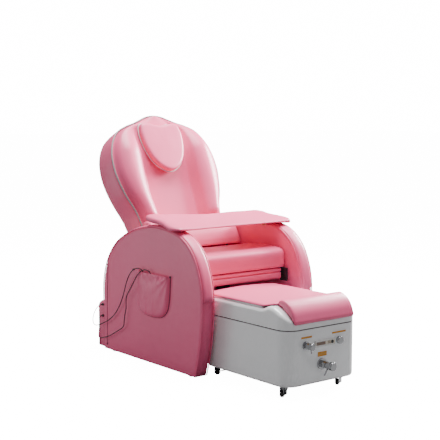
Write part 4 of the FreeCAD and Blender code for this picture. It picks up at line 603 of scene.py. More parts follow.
# %% Smooth lines
def round_line(points, first=None, last=None, steps=8, closed=False):
    """Points of a smooth line through the given ones, with the first and last directions if given."""
    ring = [Vector(point) for point in points]
    if closed:
        ring = [ring[-1], *ring, ring[0], ring[1]]
    runs = [b - a for a, b in zip(ring, ring[1:])]
    ways = [a.normalized() * b.length + b.normalized() * a.length for a, b in zip(runs, runs[1:])]
    ways = [way.normalized() for way in ways]
    if closed:
        ring, runs = ring[1:-1], runs[1:-1]
    else:
        start = Vector(first) if first else runs[0].normalized()
        finish = Vector(last) if last else runs[-1].normalized()
        ways = [start, *ways, finish]
    line = []
    for index, run in enumerate(runs):
        reach = run.length
        a, b = ring[index], ring[index + 1]
        p, q = ways[index] * reach, ways[index + 1] * reach
        for step in range(steps):
            t = step / steps
            line.append(
                a * (2 * t ** 3 - 3 * t ** 2 + 1) + p * (t ** 3 - 2 * t ** 2 + t)
                + b * (3 * t ** 2 - 2 * t ** 3) + q * (t ** 3 - t ** 2)
            )
    if not closed:
        line.append(ring[-1])
    return line


square = [(0, 0), (1, 0), (1, 1), (0, 1)]
print("a square as a round line:", len(round_line(square, closed=True)), "points")

# %% Normals of a line
def normals(line, closed=True):
    """Outward directions of a flat line that runs anticlockwise."""
    found = []
    count = len(line)
    for index in range(count):
        before = line[index - 1] if closed or index else line[0]
        after = line[(index + 1) % count] if closed or index < count - 1 else line[-1]
        way = (after - before).normalized()
        found.append(Vector((way.y, -way.x)))
    return found


print("outward at the square's first corner:", tuple(normals([Vector(spot) for spot in square])[0]))

# %% [markdown]
# ## Backrest: outline
# The backrest is narrow at the seat, widens into two wings and closes in a low arch with a slight
# peak. The whole outline could be traced in one go. One half with a dozen measured points is easier to
# correct, and mirroring it keeps both wings alike.

# %% Outline of the backrest
FOOT_HALF, WIDEST = 0.236, 0.314
WING = WIDEST - FOOT_HALF
BACK_OUTLINE = [
    (FOOT_HALF, -0.048), (FOOT_HALF + 0.06 * WING, 0.060), (FOOT_HALF + 0.22 * WING, 0.172),
    (FOOT_HALF + 0.77 * WING, 0.300), (WIDEST, 0.410), (WIDEST - 0.009, 0.500),
    (WIDEST - 0.037, 0.569), (WIDEST - 0.076, 0.616), (WIDEST - 0.130, 0.6445), (WIDEST - 0.185, 0.663),
    (0.086, 0.681), (0.050, 0.6955), (0.0, 0.703),
]
FOOT_GAP = 0.004


def back_outline(drawn_in, low):
    """The half of the outline at +X, drawn in, from the height low up to the peak."""
    line = round_line(BACK_OUTLINE, (0, 1), (-1, 0), steps=9)
    outs = [Vector((1, 0)), *normals(line, closed=False)[1:-1], Vector((0, 1))]
    drawn = [point - out * drawn_in for point, out in zip(line, outs)]
    drawn = [Vector((max(0.0, p.x), p.y)) for p in drawn if p.y > low + FOOT_GAP]
    return [Vector((drawn[0].x, low)), *drawn]


print("half outline:", len(back_outline(0.0, 0.0)), "points")

# %% [markdown]
# ## Soft steps
# Foam never changes its height suddenly. A hand-drawn curve could say how it goes from one height to
# the next, but two ends and a formula need no points. `ramp` rises softly between two places, and
# `smaller` takes the smaller of two values without a kink where they meet.

# %% Soft steps
def ramp(low, high, value):
    """From 0 at low to 1 at high, with soft ends."""
    share = max(0.0, min(1.0, (value - low) / (high - low)))
    return share * share * (3 - 2 * share)


def smaller(a, b, blend):
    """The smaller of two values, with a soft change from one to the other."""
    share = max(0.0, min(1.0, 0.5 + 0.5 * (b - a) / blend))
    return b * (1 - share) + a * share - blend * share * (1 - share)


print("half way up a soft step:", ramp(0.0, 1.0, 0.5))

# %% [markdown]
# ## Backrest: channel and lobes
# A deep channel runs down the middle of the backrest, with a long padded lobe on each side. It could be
# sculpted, or blown up by a cloth simulation, but both would move the edge that the piping follows. So
# the front is a height field: for each place, a formula says how deep it lies. First comes where the
# channel's floor, its crease and the lobe's crest lie, at each height up the slope.

# %% Where the channel and the lobes lie
PAD_FRONT, CHANNEL_DEEP, CHANNEL_RISE = -0.008, 0.0235, 0.0315
CREASE, CREST, LOBE_RISE = 0.127, 0.232, 0.0465
BLEND, SLIVER = 0.03, 0.0001


def channel_floor(up):
    """Depth of the middle channel's floor, which rises to meet the padding above."""
    deep = CHANNEL_DEEP - CHANNEL_RISE * ramp(0.30, 0.525, up)
    return PAD_FRONT + (deep - PAD_FRONT) * ramp(0.075, 0.105, up)


def lobe_lines(up, edge):
    """Half widths of the channel's crease and of the lobe's crest at a height."""
    straight = CREASE + 0.005 * ramp(0.45, 0.60, up)
    crease = smaller(straight, 0.55 * edge + SLIVER, min(BLEND, 0.4 * edge + SLIVER))
    room = edge - crease
    return crease, smaller(CREST, crease + 0.6 * room, min(BLEND, 0.3 * room + SLIVER))


print("crease and crest half way up:", [round(x, 3) for x in lobe_lines(0.35, WIDEST)])

# %% Inner side of a lobe
FLANK = round_line([
    (0, 0), (0.18, 0.26), (0.28, 0.44), (0.38, 0.635), (0.46, 0.745), (0.58, 0.85), (0.74, 0.94),
    (0.88, 0.985), (1, 1),
], steps=3)


def flank_rise(share):
    """Height of a lobe's inner side, from the crease at share 0 to the crest at 1."""
    for a, b in zip(FLANK, FLANK[1:]):
        if share <= b.x:
            return a.y + (b.y - a.y) * (share - a.x) / (b.x - a.x)
    return 1.0


print("rise half way across a lobe's inner side:", round(flank_rise(0.5), 3))

# %% Depth of the front at a place
CHANNEL_BULGE, EDGE_ROLL, EDGE_DEPTH = 0.004, 0.022, 0.0025


def front_depth(x, up, edge):
    """How far the front stands from the backrest's own plane, negative towards the sitter."""
    side = abs(x)
    crease, crest = lobe_lines(up, edge)
    floor = channel_floor(up)
    fade = (1 - ramp(0.49, 0.69, up)) * (0.35 + 0.65 * ramp(0.105, 0.165, up))
    top = PAD_FRONT - LOBE_RISE * fade
    if side <= crease:
        depth = floor - CHANNEL_BULGE * (1 - (side / crease) ** 2)
    elif side < crest:
        depth = floor + (top - floor) * flank_rise((side - crease) / (crest - crease))
    else:
        share = (side - crest) / max(0.001, edge - crest)
        fall = max(0.0, math.cos(math.pi / 2 * share)) ** 0.8
        depth = PAD_FRONT + (top - PAD_FRONT) * fall
    roll = ramp(0.0, EDGE_ROLL, edge - side)
    return EDGE_DEPTH * (1 - roll) + depth * roll


print("depth in the middle of the channel:", round(front_depth(0.0, 0.2, WIDEST), 4))

# %% [markdown]
# ## Handing a piece over
# A finished mesh has to know three things: the body it moves with, its finish, and the plain solids
# that it takes the place of. Each could be said where the mesh is made. One helper says them all, so
# none is forgotten.

# %% Body, finish and solids of a piece
def settle(obj, body, slot, material, *nodes, fill=None):
    """Gives a piece its body, its finish and the solids that it stands for."""
    obj.data.materials.clear()
    obj.data.materials.append(material)
    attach(obj, body)
    if nodes:
        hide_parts(*nodes)
    return obj

# %% [markdown]
# ## Backrest: front
# The front is one skin from piping to piping, closed behind where it meets the shell. A square grid cut
# to the outline would leave steps along the curved edge. Rows that run from edge to edge follow it, and
# their points crowd together where the lobes bend most.

# %% Front of the backrest
FRONT_DRAWN_IN, FRONT_FOOT = 0.0072, -0.048
PAD_REAR, THIN_FOAM = 0.0038, 0.0098
CHANNEL_SHARES = (0, 0.2, 0.4, 0.6, 0.75, 0.87, 0.94, 0.98, 1.0)
EDGE_SHARES = (0.1, 0.22, 0.35, 0.48, 0.6, 0.72, 0.82, 0.9, 0.96, 1.0)


def back_front():
    """Sections from edge to edge, from the foot to the peak, each closed behind the pad."""
    rows = []
    for point in back_outline(FRONT_DRAWN_IN, FRONT_FOOT):
        edge, up = point.x, point.y
        crease, crest = lobe_lines(up, edge)
        inner = [crease * share for share in CHANNEL_SHARES]
        flank = [crease + (crest - crease) * spot.x for spot in FLANK[1:]]
        outer = [crest + (edge - crest) * share for share in EDGE_SHARES]
        half = [*inner, *flank, *outer]
        across = [-x for x in reversed(half[1:])] + half
        front = [on_back(x, front_depth(x, up, edge), up) for x in across]
        under = max(PAD_REAR, channel_floor(up) + THIN_FOAM)
        rear = [(0.98 * edge, PAD_REAR), (min(0.158, 0.8 * edge), PAD_REAR)]
        rear += [(min(0.140, 0.7 * edge), under), (0.05 * edge, under)]
        rear += [(-x, depth) for x, depth in reversed(rear)]
        rows.append([*front, *[on_back(x, depth, up) for x, depth in rear]])
    return skin("back_front", rows, around=True)


back = settle(back_front(), "back", "pink_leather", pink, "back_front_pad", "back_bolsters", fill=0.7)
print(back.name, len(back.data.vertices), "points")

# %% [markdown]
# ## Backrest: shell
# Behind the front, a boxed side runs up the wings and over the peak, and turns over a soft edge onto the
# rear. The outline could simply be pushed back. A list of rings, each drawn in a little and set a
# little deeper, also gives the soft edges, and weak noise adds the puckers of stretched leather. A
# Solidify modifier then gives this skin its thickness.

# %% Shell of the backrest
SHELL_RIM = [
    (0.0012, 0.0046), (0.0004, 0.010), (0.0, 0.030), (-0.0012, 0.055), (-0.0015, 0.085), (0.0, 0.112),
    (0.0015, 0.126), (0.005, 0.136), (0.011, 0.1435), (0.019, 0.148), (0.029, 0.1495),
]
SHELL_FOOT, SHELL_STEP, PUCKER, REAR_CROWN = -0.028, 0.063, 0.0008, 0.004
SHELL_LEATHER = 0.004


def back_shell():
    """The boxed side and the rear. Each ring of the rim is (drawn in, depth)."""
    lines = [back_outline(drawn_in, SHELL_FOOT) for drawn_in, _ in SHELL_RIM]
    rows = []
    for index in range(len(lines[0])):
        right = []
        for line, (_, depth) in zip(lines, SHELL_RIM):
            point = line[min(index, len(line) - 1)]
            up = max(point.y, SHELL_FOOT + SHELL_STEP * ramp(0.100, 0.124, depth))
            pucker = PUCKER * noise.noise(Vector((depth * 30, index * 0.35, 4)))
            right.append((point.x + pucker, depth, up))
        x, depth, up = right[-1]
        shares = (0.8, 0.5, 0.2, -0.2, -0.5, -0.8)
        flat = [(x * share, depth + REAR_CROWN * (1 - share ** 2), up) for share in shares]
        left = [(-px, pd, pu) for px, pd, pu in reversed(right)]
        rows.append([on_back(*point) for point in [*right, *flat, *left]])
    return skin("back_shell_cover", rows)


shell = settle(back_shell(), "back", "pink_leather", pink, "back_shell", fill=0.8)
shell_leather = shell.modifiers.new("thickness", "SOLIDIFY")
shell_leather.thickness = SHELL_LEATHER
shell_leather.offset = -1
print(shell.name, len(shell.data.vertices), "points")

# %% [markdown]
# ## Cushions
# The seat, the lumbar cushion, the leg rest and the rear pads are all one cross-section with soft ends.
# A cube with a bevel and subdivision comes near, but can't follow a measured section. `cushion` carries
# a section along X and draws it in along a quarter round at both ends, and slow noise keeps its
# faces from being perfectly even.

# %% Drawn-in lines, and stations along a cushion
def inset(line, distance, closed=True):
    """The line drawn in along its own normals, or let out where distance is negative."""
    return [point - out * distance for point, out in zip(line, normals(line, closed))]


STATION_STEP = 0.02


def end_stations(low, high, corner):
    """X places and how far the section is drawn in there, with round ends of that corner."""
    turns = [math.pi / 2 * part / 6 for part in range(7)]
    left = [(low + corner * (1 - math.cos(turn)), corner * (1 - math.sin(turn))) for turn in turns]
    right = [(low + high - x, drawn) for x, drawn in reversed(left)]
    straight = high - low - 2 * corner
    count = max(2, int(straight / STATION_STEP))
    middle = [(low + corner + straight * part / count, 0.0) for part in range(1, count)]
    return [*left, *middle, *right]


print("stations of a 0.5 m cushion:", len(end_stations(-0.25, 0.25, 0.01)))

# %% A cushion from one section
WAVES_ALONG, WAVES_ROUND = 9, 11


def cushion(name, section, stations, to_place, sway=0.0008, seed=0.0):
    """A closed cushion. section gives (y, z) points anticlockwise seen from +X at an x."""
    rows = []
    for x, drawn in stations:
        line = inset(section(x), drawn)
        row = []
        for point in line:
            wave = Vector((x * WAVES_ALONG + seed, point.x * WAVES_ROUND, point.y * WAVES_ROUND))
            shift = sway * noise.noise(wave)
            row.append(to_place(x, point.x + shift * 0.4, point.y + shift))
        rows.append(row)
    return skin(name, rows, around=True)

# %% [markdown]
# ## Seat cushion
# The seat is a thick foam block with a flat front and a soft brow, and its crowned top sinks a little
# where people sit. A simulation could press that hollow in. It is so shallow that a term in the
# section's height is enough, and the front edge keeps its measured shape.

# %% Seat cushion
SEAT_HALF, SEAT_HOLLOW = 0.2505, 0.003


def seat_section(x):
    """Flat below, a flat front with a soft brow, and a crowned top that sinks where people sit."""
    hollow = SEAT_HOLLOW * (1 - min(1.0, abs(x) / 0.25) ** 3)
    points = [
        (0.432, 0.4488), (0.4325, 0.470), (0.4315, 0.494), (0.424, 0.5065), (0.408, 0.5125),
        (0.340, 0.5285 - hollow), (0.240, 0.5372 - hollow), (0.150, 0.5375 - hollow), (0.104, 0.5352),
        (0.0835, 0.5325), (0.0685, 0.5265), (0.0595, 0.517), (0.0560, 0.504), (0.0552, 0.485),
        (0.0560, 0.463), (0.0572, 0.4480), (0.0612, 0.4432), (0.070, 0.4430), (0.082, 0.4480),
        (0.20, 0.4488), (0.32, 0.4488),
    ]
    return round_line(points, steps=4, closed=True)


seat_ends = end_stations(-SEAT_HALF, SEAT_HALF, 0.009)
seat = cushion("seat_cushion_cover", seat_section, seat_ends, place, seed=3.0)
settle(seat, "root", "pink_leather", pink, "seat_cushion", fill=0.75)
print(seat.name, len(seat.data.vertices), "points")

# %% [markdown]
# ## Lumbar cushion
# A full round cushion lies across the foot of the backrest and reclines with it. It could be set level
# and turned afterwards. Drawing its section in the backrest's own depth and height is simpler, and
# shows at once that it stays clear of the front behind it.

# %% Lumbar cushion
LUMBAR_HALF = 0.246


def lumbar_section(x):
    """Depth and height on the backrest's own slope: level below, with a full, round front."""
    points = [
        (-0.0085, -0.002), (-0.0083, 0.04), (-0.0083, 0.112), (-0.014, 0.1225), (-0.030, 0.125),
        (-0.052, 0.117), (-0.073, 0.100), (-0.089, 0.070), (-0.0975, 0.034), (-0.100, 0.000),
        (-0.0985, -0.026), (-0.094, -0.041), (-0.086, -0.0405), (-0.050, -0.0238),
    ]
    return round_line(points, steps=4, closed=True)


lumbar_ends = end_stations(-LUMBAR_HALF, LUMBAR_HALF, 0.010)
lumbar = cushion("lumbar_cover", lumbar_section, lumbar_ends, on_back, seed=8.0)
settle(lumbar, "back", "pink_leather", pink, "lumbar_cushion", fill=0.7)
print(lumbar.name, len(lumbar.data.vertices), "points")

# %% [markdown]
# ## Leg rest
# The leg rest is a padded board under the seat with a thinner strip on top of it, and it pulls out
# between the arms. Both layers are thin and firm, so a rectangle with round corners is section enough.
# It gets extra points on its long sides, so that its faces stay nearly square.

# %% Sections of thin pads
CORNER_STEPS = 6


def round_box(half_wide, half_high, corner):
    """An upright rectangle with round corners, anticlockwise about its middle."""
    line = []
    for turn, (sx, sy) in enumerate(((1, 1), (-1, 1), (-1, -1), (1, -1))):
        for step in range(CORNER_STEPS + 1):
            angle = math.pi / 2 * (turn + step / CORNER_STEPS)
            x = sx * (half_wide - corner) + corner * math.cos(angle)
            y = sy * (half_high - corner) + corner * math.sin(angle)
            line.append(Vector((x, y)))
    return line


def denser(line, longest):
    """The same closed line with extra points on its long runs."""
    made = []
    for a, b in zip(line, [*line[1:], line[0]]):
        parts = max(1, math.ceil((b - a).length / longest))
        made += [a.lerp(b, part / parts) for part in range(parts)]
    return made


def strip_section(low, high, front, rear, corner):
    """A padded strip with a softly rounded front."""
    middle_y, middle_z = (front + rear) / 2, (low + high) / 2
    shape = round_box((rear - front) / 2, (high - low) / 2, corner)
    line = denser([Vector((p.x + middle_y, p.y + middle_z)) for p in shape], 0.03)
    return lambda x: line


print("points round a thin pad:", len(strip_section(0.0, 0.03, 0.0, 0.3, 0.009)(0.0)))

# %% Two layers of the leg rest
REST_HALF, REST_FRONT, REST_REAR = 0.2325, 0.0585, 0.380

rest_low = cushion(
    "legrest_lower", strip_section(0.3885, 0.4213, REST_FRONT, REST_REAR, 0.0095),
    end_stations(-REST_HALF, REST_HALF, 0.005), place, 0.0006, 1.0,
)
rest_high = cushion(
    "legrest_upper", strip_section(0.4222, 0.4385, REST_FRONT, REST_REAR, 0.0062),
    end_stations(-REST_HALF, REST_HALF, 0.004), place, 0.0004, 2.0,
)
settle(rest_low, "legrest", "pink_leather", pink, "legrest_board", fill=0.9)
settle(rest_high, "legrest", "pink_leather", pink, "legrest_pad", fill=0.9)
print("cushions:", [piece.name for piece in (seat, lumbar, rest_low, rest_high)])

# %% [markdown]
# ## Head pillow
# The pillow has the outline of a wide heart with a blunt tip, a boxed side and a soft front. A cloth
# simulation could blow it up from its outline, but would pull that outline in. Rings that are drawn in
# and raised step by step give the same fullness, and the edge stays where the piping needs it.

# %% Outline of the pillow
PILLOW_HALF, PILLOW_TIP, PILLOW_TALL = 0.120, 0.388, 0.258
HEART = [
    (0, 0), (0.36, 0.055), (0.69, 0.2), (0.9, 0.41), (1, 0.63), (1, 0.84), (0.91, 0.96), (0.62, 0.995),
    (0.26, 0.96), (0, 0.94),
]
PILLOW_TILT = 0.035


def heart_line(drawn_in):
    """The pillow's outline, drawn in, from its tip up the side at +X and down the other."""
    points = [Vector((PILLOW_HALF * a, PILLOW_TIP + PILLOW_TALL * b)) for a, b in HEART]
    right = round_line(points, (1, 0), Vector((-1, -0.18)).normalized(), 6)
    right = inset(right, drawn_in, closed=False)
    right[0].x = right[-1].x = 0
    left = [Vector((-p.x, p.y)) for p in reversed(right[1:-1])]
    return [Vector((p.x, p.y - PILLOW_TILT * p.x)) for p in [*right, *left]]


print("heart line:", len(heart_line(0.0)), "points")

# %% Pillow
PILLOW_RINGS = [
    (0.012, -0.0086), (0.002, -0.0092), (0.0002, -0.012), (-0.0008, -0.0175), (-0.0008, -0.0250),
    (0.0006, -0.0305), (0.0032, -0.0345), (0.0070, -0.0370), (0.0125, -0.0383), (0.019, -0.0388),
]
PILLOW_CROWN, PILLOW_SWELL = 0.0016, 0.0012


def head_pillow():
    """Rings of (drawn in, depth) from the rear edge to the front, then on towards the middle."""
    rows = [[on_back(p.x, depth, p.y) for p in heart_line(drawn)] for drawn, depth in PILLOW_RINGS]
    drawn, front = PILLOW_RINGS[-1]
    last = heart_line(drawn)
    middle = Vector((0, PILLOW_TIP + 0.58 * PILLOW_TALL))
    for share in (0.8, 0.6, 0.38, 0.16):
        row = []
        for point in last:
            spot = middle.lerp(point, share)
            swell = PILLOW_SWELL * noise.noise(Vector((spot.x * 16, spot.y * 16, 2)))
            row.append(on_back(spot.x, front - PILLOW_CROWN * (1 - share) + swell, spot.y))
        rows.append(row)
    return skin("heart_pillow", rows, around=True)


pillow = settle(head_pillow(), "back", "pink_leather", pink, "head_pillow", fill=0.65)
print(pillow.name, len(pillow.data.vertices), "points")

# %% [markdown]
# ## Piping
# Pale piping runs round the pillow's rear edge: a thin cord with leather sewn over it. A curve with a
# bevel would draw it, as it does the handset cords. Here `tube` makes it of rows of points instead,
# since the seams and the seal below need the same, and all of them are then meshes like the pads.

# %% A tube along a line, and the pillow's piping
def tube(name, line, radius, sides=10, closed=False):
    """A round tube along a line of points."""
    rows = []
    count = len(line)
    side = None
    for index, point in enumerate(line):
        before = line[index - 1] if closed or index else point
        after = line[(index + 1) % count] if closed or index < count - 1 else point
        way = (after - before).normalized()
        side = way.orthogonal() if side is None else side - way * side.dot(way)
        side.normalize()
        other = way.cross(side)
        turns = [math.tau * k / sides for k in range(sides)]
        rows.append([point + (side * math.cos(turn) + other * math.sin(turn)) * radius for turn in turns])
    if closed:
        rows.append(rows[0])
    return skin(name, rows, around=True, ends=not closed)


PIPING_OUT, PIPING_DEPTH, PIPING_RADIUS = 0.0028, -0.0135, 0.0030

edge_line = [on_back(p.x, PIPING_DEPTH, p.y) for p in heart_line(-PIPING_OUT)]
pillow_piping = tube("pillow_piping", edge_line, PIPING_RADIUS, closed=True)
settle(pillow_piping, "back", "grey_piping", pale_piping)
print(pillow.name, "with", pillow_piping.name)

# %% [markdown]
# ## Arms: outline
# Seen from the side, an arm has a slightly bent front edge, an arch of four arcs and a straight rear.
# The arcs could be fitted by eye. Their centres are worked out from the radii instead, so that each arc
# runs into the next without a kink, just as in the solid that the arm stands for.

# %% Centres of the arcs
ARM_HALF, ARM_THICK = 0.3275, 0.070
ARM_ARCS = {"front": 0.358, "shoulder": 0.230, "top": 0.620, "rear": 0.304}
ARM_FRONT, ARM_REAR, ARM_APEX, ARM_HIGH, ARM_WAIST = -0.051, 0.749, 0.290, 0.648, 0.345
ARM_FOOT_RADIUS, FLOOR_CLEAR = 1.080, 0.008


def arm_centres():
    """Centres of the front, shoulder, top and rear arcs, as (y, z)."""
    top = Vector((ARM_APEX, ARM_HIGH - ARM_ARCS["top"]))
    front = Vector((ARM_FRONT + ARM_ARCS["front"], ARM_WAIST))
    to_top = ARM_ARCS["top"] - ARM_ARCS["shoulder"]
    to_front = ARM_ARCS["front"] - ARM_ARCS["shoulder"]
    span = (front - top).length
    along = (to_top ** 2 - to_front ** 2 + span ** 2) / (2 * span)
    aside = math.sqrt(to_top ** 2 - along ** 2)
    ahead = (front - top).normalized()
    shoulder = top + ahead * along + Vector((-ahead.y, ahead.x)) * aside
    rear_y = ARM_REAR - ARM_ARCS["rear"]
    rise = math.sqrt((ARM_ARCS["top"] - ARM_ARCS["rear"]) ** 2 - (rear_y - top.x) ** 2)
    return front, shoulder, top, Vector((rear_y, top.y + rise))


print("centres:", [tuple(round(v, 3) for v in centre) for centre in arm_centres()])

# %% Arch of an arm
def arm_arch(step=0.012):
    """Points and outward directions from the front waist over the top to the rear."""
    front, shoulder, top, rear = arm_centres()
    stops = [
        Vector((-1, 0)), (shoulder - front).normalized(), (shoulder - top).normalized(),
        (rear - top).normalized(), Vector((1, 0)),
    ]
    line = []
    centres = (front, shoulder, top, rear)
    for centre, radius, begin, finish in zip(centres, ARM_ARCS.values(), stops, stops[1:]):
        turn = begin.angle(finish)
        parts = max(3, round(turn * radius / step))
        for part in range(parts):
            share = part / parts
            out = (begin * math.sin(turn * (1 - share)) + finish * math.sin(turn * share)) / math.sin(turn)
            line.append((centre + out * radius, out))
    line.append((rear + stops[-1] * ARM_ARCS["rear"], stops[-1]))
    return line


print("arch:", len(arm_arch()), "points, highest at", round(max(point.y for point, _ in arm_arch()), 3))

# %% Whole outline of an arm
FOOT_PARTS, REAR_PARTS, FLOOR_PARTS = 14, 12, 30


def arm_foot():
    """Points of the front edge below the waist, from the foot up."""
    centre = ARM_FOOT_RADIUS + ARM_FRONT
    tall = ARM_WAIST - FLOOR_CLEAR
    heights = [FLOOR_CLEAR + tall * part / FOOT_PARTS for part in range(FOOT_PARTS)]
    return [Vector((centre - math.sqrt(ARM_FOOT_RADIUS ** 2 - (ARM_WAIST - z) ** 2), z)) for z in heights]


def arm_outline():
    """The whole side outline, clockwise seen from -X, starting at the front foot."""
    foot = arm_foot()
    arch = [point for point, _ in arm_arch()]
    rear = arch[-1]
    tall, long = rear.y - FLOOR_CLEAR, foot[0].x - rear.x
    down = [Vector((rear.x, rear.y - tall * part / REAR_PARTS)) for part in range(1, REAR_PARTS + 1)]
    along = [Vector((rear.x + long * part / FLOOR_PARTS, FLOOR_CLEAR)) for part in range(1, FLOOR_PARTS)]
    return [*foot, *arch, *down, *along]


print("arm outline:", len(arm_outline()), "points")

# %% [markdown]
# ## Arms: sides
# The sides are leather pulled tight over board and thin foam, and roll in to the piping at their edge.
# A bevel on the solid would give that roll, but leave the sides dead flat, which looks wrong in soft
# light. Rings from the middle out to the edge give both the roll and a slow wave of about a millimetre.

# %% Side of an arm
SIDE_SHARES = (0.12, 0.4, 0.65, 0.85)
SIDE_ROLL = [
    (0.030, 0.0002), (0.018, 0.0006), (0.010, 0.0013), (0.005, 0.0023), (0.002, 0.0036), (0.0003, 0.0056),
]
SIDE_WAVE = 0.0012


def arm_slab(name, outer):
    """outer is the x of the outside face; the inside face is a thickness nearer the middle."""
    outline = arm_outline()
    inward = -math.copysign(1, outer)
    middle = Vector((0.35, 0.30))
    rows = []
    for flip in (0, 1):
        half = []
        for share in SIDE_SHARES:
            half.append([(middle.lerp(point, share), 0.0) for point in outline])
        for drawn, drop in SIDE_ROLL:
            half.append([(point, drop) for point in inset(outline, -drawn)])
        for ring in (reversed(half) if flip else half):
            row = []
            for point, drop in ring:
                draw = noise.noise(Vector((point.x * 7, point.y * 7, outer * 20 + flip)))
                wave = SIDE_WAVE * (0.5 + 0.5 * draw)
                depth = drop + wave * (1 if drop < 0.001 else 0)
                x = outer + inward * (ARM_THICK - depth if flip else depth)
                row.append(place(x, point.x, point.y))
            rows.append(row)
    return skin(name, rows, around=True)


print("a side rolls in over", SIDE_ROLL[0][0], "m")

# %% [markdown]
# ## Arms: padded bands
# A padded band lies over each arch between its two pipings, and rolls down softly at its ends. A curve
# with a profile would be cut off square there. Sections along the arch, each with a height of its own,
# let the band rise from nothing and sink to nothing again.

# %% Padded band of an arm
BAND_HIGH, BAND_END, BAND_DRAWN_IN, BAND_WAVE = 0.0104, 0.022, 0.0062, 0.0005


def arm_band(name, outer):
    """The padded band over the arch, with its ends rolled down."""
    centre = outer - math.copysign(ARM_THICK / 2, outer)
    half = ARM_THICK / 2 - BAND_DRAWN_IN
    arch = arm_arch(0.010)
    lengths = [0.0]
    for (a, _), (b, _) in zip(arch, arch[1:]):
        lengths.append(lengths[-1] + (b - a).length)
    whole = lengths[-1]
    rows = []
    for (point, out), run in zip(arch, lengths):
        near = min(run, whole - run)
        tall = BAND_HIGH * math.sqrt(1 - (1 - min(1.0, near / BAND_END)) ** 2)
        row = []
        for part in range(17):
            v = -1 + part / 8
            height = tall * (1 - abs(v) ** 4) ** 0.5 + 0.0004
            height += BAND_WAVE * noise.noise(Vector((run * 14, v * 1.3, outer * 9))) * (1 - abs(v) ** 2)
            spot = point + out * height
            row.append(place(centre + half * v, spot.x, spot.y))
        under = point + out * 0.0001
        row += [place(centre + half * 0.8, under.x, under.y), place(centre - half * 0.8, under.x, under.y)]
        rows.append(row)
    return skin(name, rows, around=True)


print("a band stands", BAND_HIGH, "m over the arch")

# %% Both arms
for side, outer in (("right", -ARM_HALF), ("left", ARM_HALF)):
    slab = arm_slab(f"arm_side_{side}", outer)
    settle(slab, "root", "pink_leather", pink, f"arm_core_{side}", fill=0.8)
    band = arm_band(f"arm_band_{side}", outer)
    settle(band, "root", "pink_leather", pink, f"arm_pad_{side}", fill=0.75)
print("arms at x", -ARM_HALF, "and", ARM_HALF)

# %% [markdown]
# ## Tray: outline and slope
# The lap tray lies across both arms and slopes with their tops. Its ends are waisted, and its rear edge
# is hollowed for the sitter. It could be modelled flat and then turned. `on_tray` turns each point as
# it is made instead, about the place where the tray's underside touches the padded bands.

# %% Outline of the tray
TRAY_SLOPE = math.radians(7.4)
TRAY_HALF, TRAY_WAIST, TRAY_FRONT, TRAY_REAR, TRAY_DIP = 0.344, 0.330, -0.104, 0.170, 0.046
TRAY_CORNER = 0.022


def tray_outline():
    """The outline, anticlockwise seen from above, from the front corner over the left arm."""
    front, rear = TRAY_FRONT, TRAY_REAR
    right = [
        (TRAY_HALF - 0.006 - TRAY_CORNER, front), (TRAY_HALF - 0.006, front + TRAY_CORNER),
        (TRAY_WAIST, front + 0.58 * (rear - front)), (TRAY_HALF, rear - 0.040),
        (TRAY_HALF - 0.014, rear - 0.008), (TRAY_HALF - 0.054, rear), (0, rear - TRAY_DIP),
    ]
    left = [(-x, y) for x, y in reversed(right[:-1])]
    line = round_line([*right, *left], (1, 0), (1, 0), 8)
    return denser(line, 0.022)


print("tray outline:", len(tray_outline()), "points")

# %% Places on the tray
def on_tray(x, y, z):
    """A place from y along the tray and z above its underside, which rests on the bands."""
    top = arm_centres()[2]
    reach = ARM_ARCS["top"] + 0.0103
    start_y = top.x - reach * math.sin(TRAY_SLOPE)
    start_z = top.y + reach * math.cos(TRAY_SLOPE)
    along = y * math.cos(TRAY_SLOPE) - z * math.sin(TRAY_SLOPE)
    up = y * math.sin(TRAY_SLOPE) + z * math.cos(TRAY_SLOPE)
    return place(x, start_y + along, start_z + up)


print("middle of the tray at z", round(on_tray(0, 0, 0).z, 3))

# %% [markdown]
# ## Tray: pad
# The tray is a board with thin foam under leather, thin in front and fuller behind. It isn't quite even:
# it twists a little over the right arm, and its rear corner over the left arm droops. A flat pad with a
# bevel would miss this. One function places each point between underside and top, so thickness, twist
# and droop are said once and hold for all rings of the skin.

# %% Thickness, twist and droop
TRAY_THICK, TRAY_LIP, TRAY_WIDER = 0.0205, 0.0085, 0.008
TRAY_TWIST, TRAY_DROOP = 0.08, 0.010


def tray_point(x, y, share):
    """A point between the tray's underside and its top, thin in front and fuller behind."""
    low = TRAY_LIP * (1 - ramp(TRAY_FRONT, TRAY_FRONT + 0.055, y)) * (1 - 0.65 * ramp(0.24, 0.32, x))
    high = TRAY_THICK + 0.004 * ramp(-0.02, 0.12, y) + 0.0030 * ramp(0.24, 0.31, abs(x))
    twist = TRAY_TWIST * min(x, 0.0) * (y - 0.01)
    droop = TRAY_DROOP * ramp(0.05, 0.30, x) * ramp(-0.02, 0.15, y)
    wider = x + TRAY_WIDER * ramp(0.20, 0.34, x)
    return on_tray(wider, y, low + (high - low) * share - twist - droop)


tray_thickness = (tray_point(0, 0, 1) - tray_point(0, 0, 0)).length
print("tray's thickness in the middle:", round(tray_thickness, 4))

# %% Tray
TRAY_RINGS = [
    (0.030, 0.0), (0.014, 0.0), (0.006, 0.03), (0.0018, 0.14), (0.0, 0.34), (0.0003, 0.52), (0.0022, 0.70),
    (0.006, 0.84), (0.012, 0.93),
]


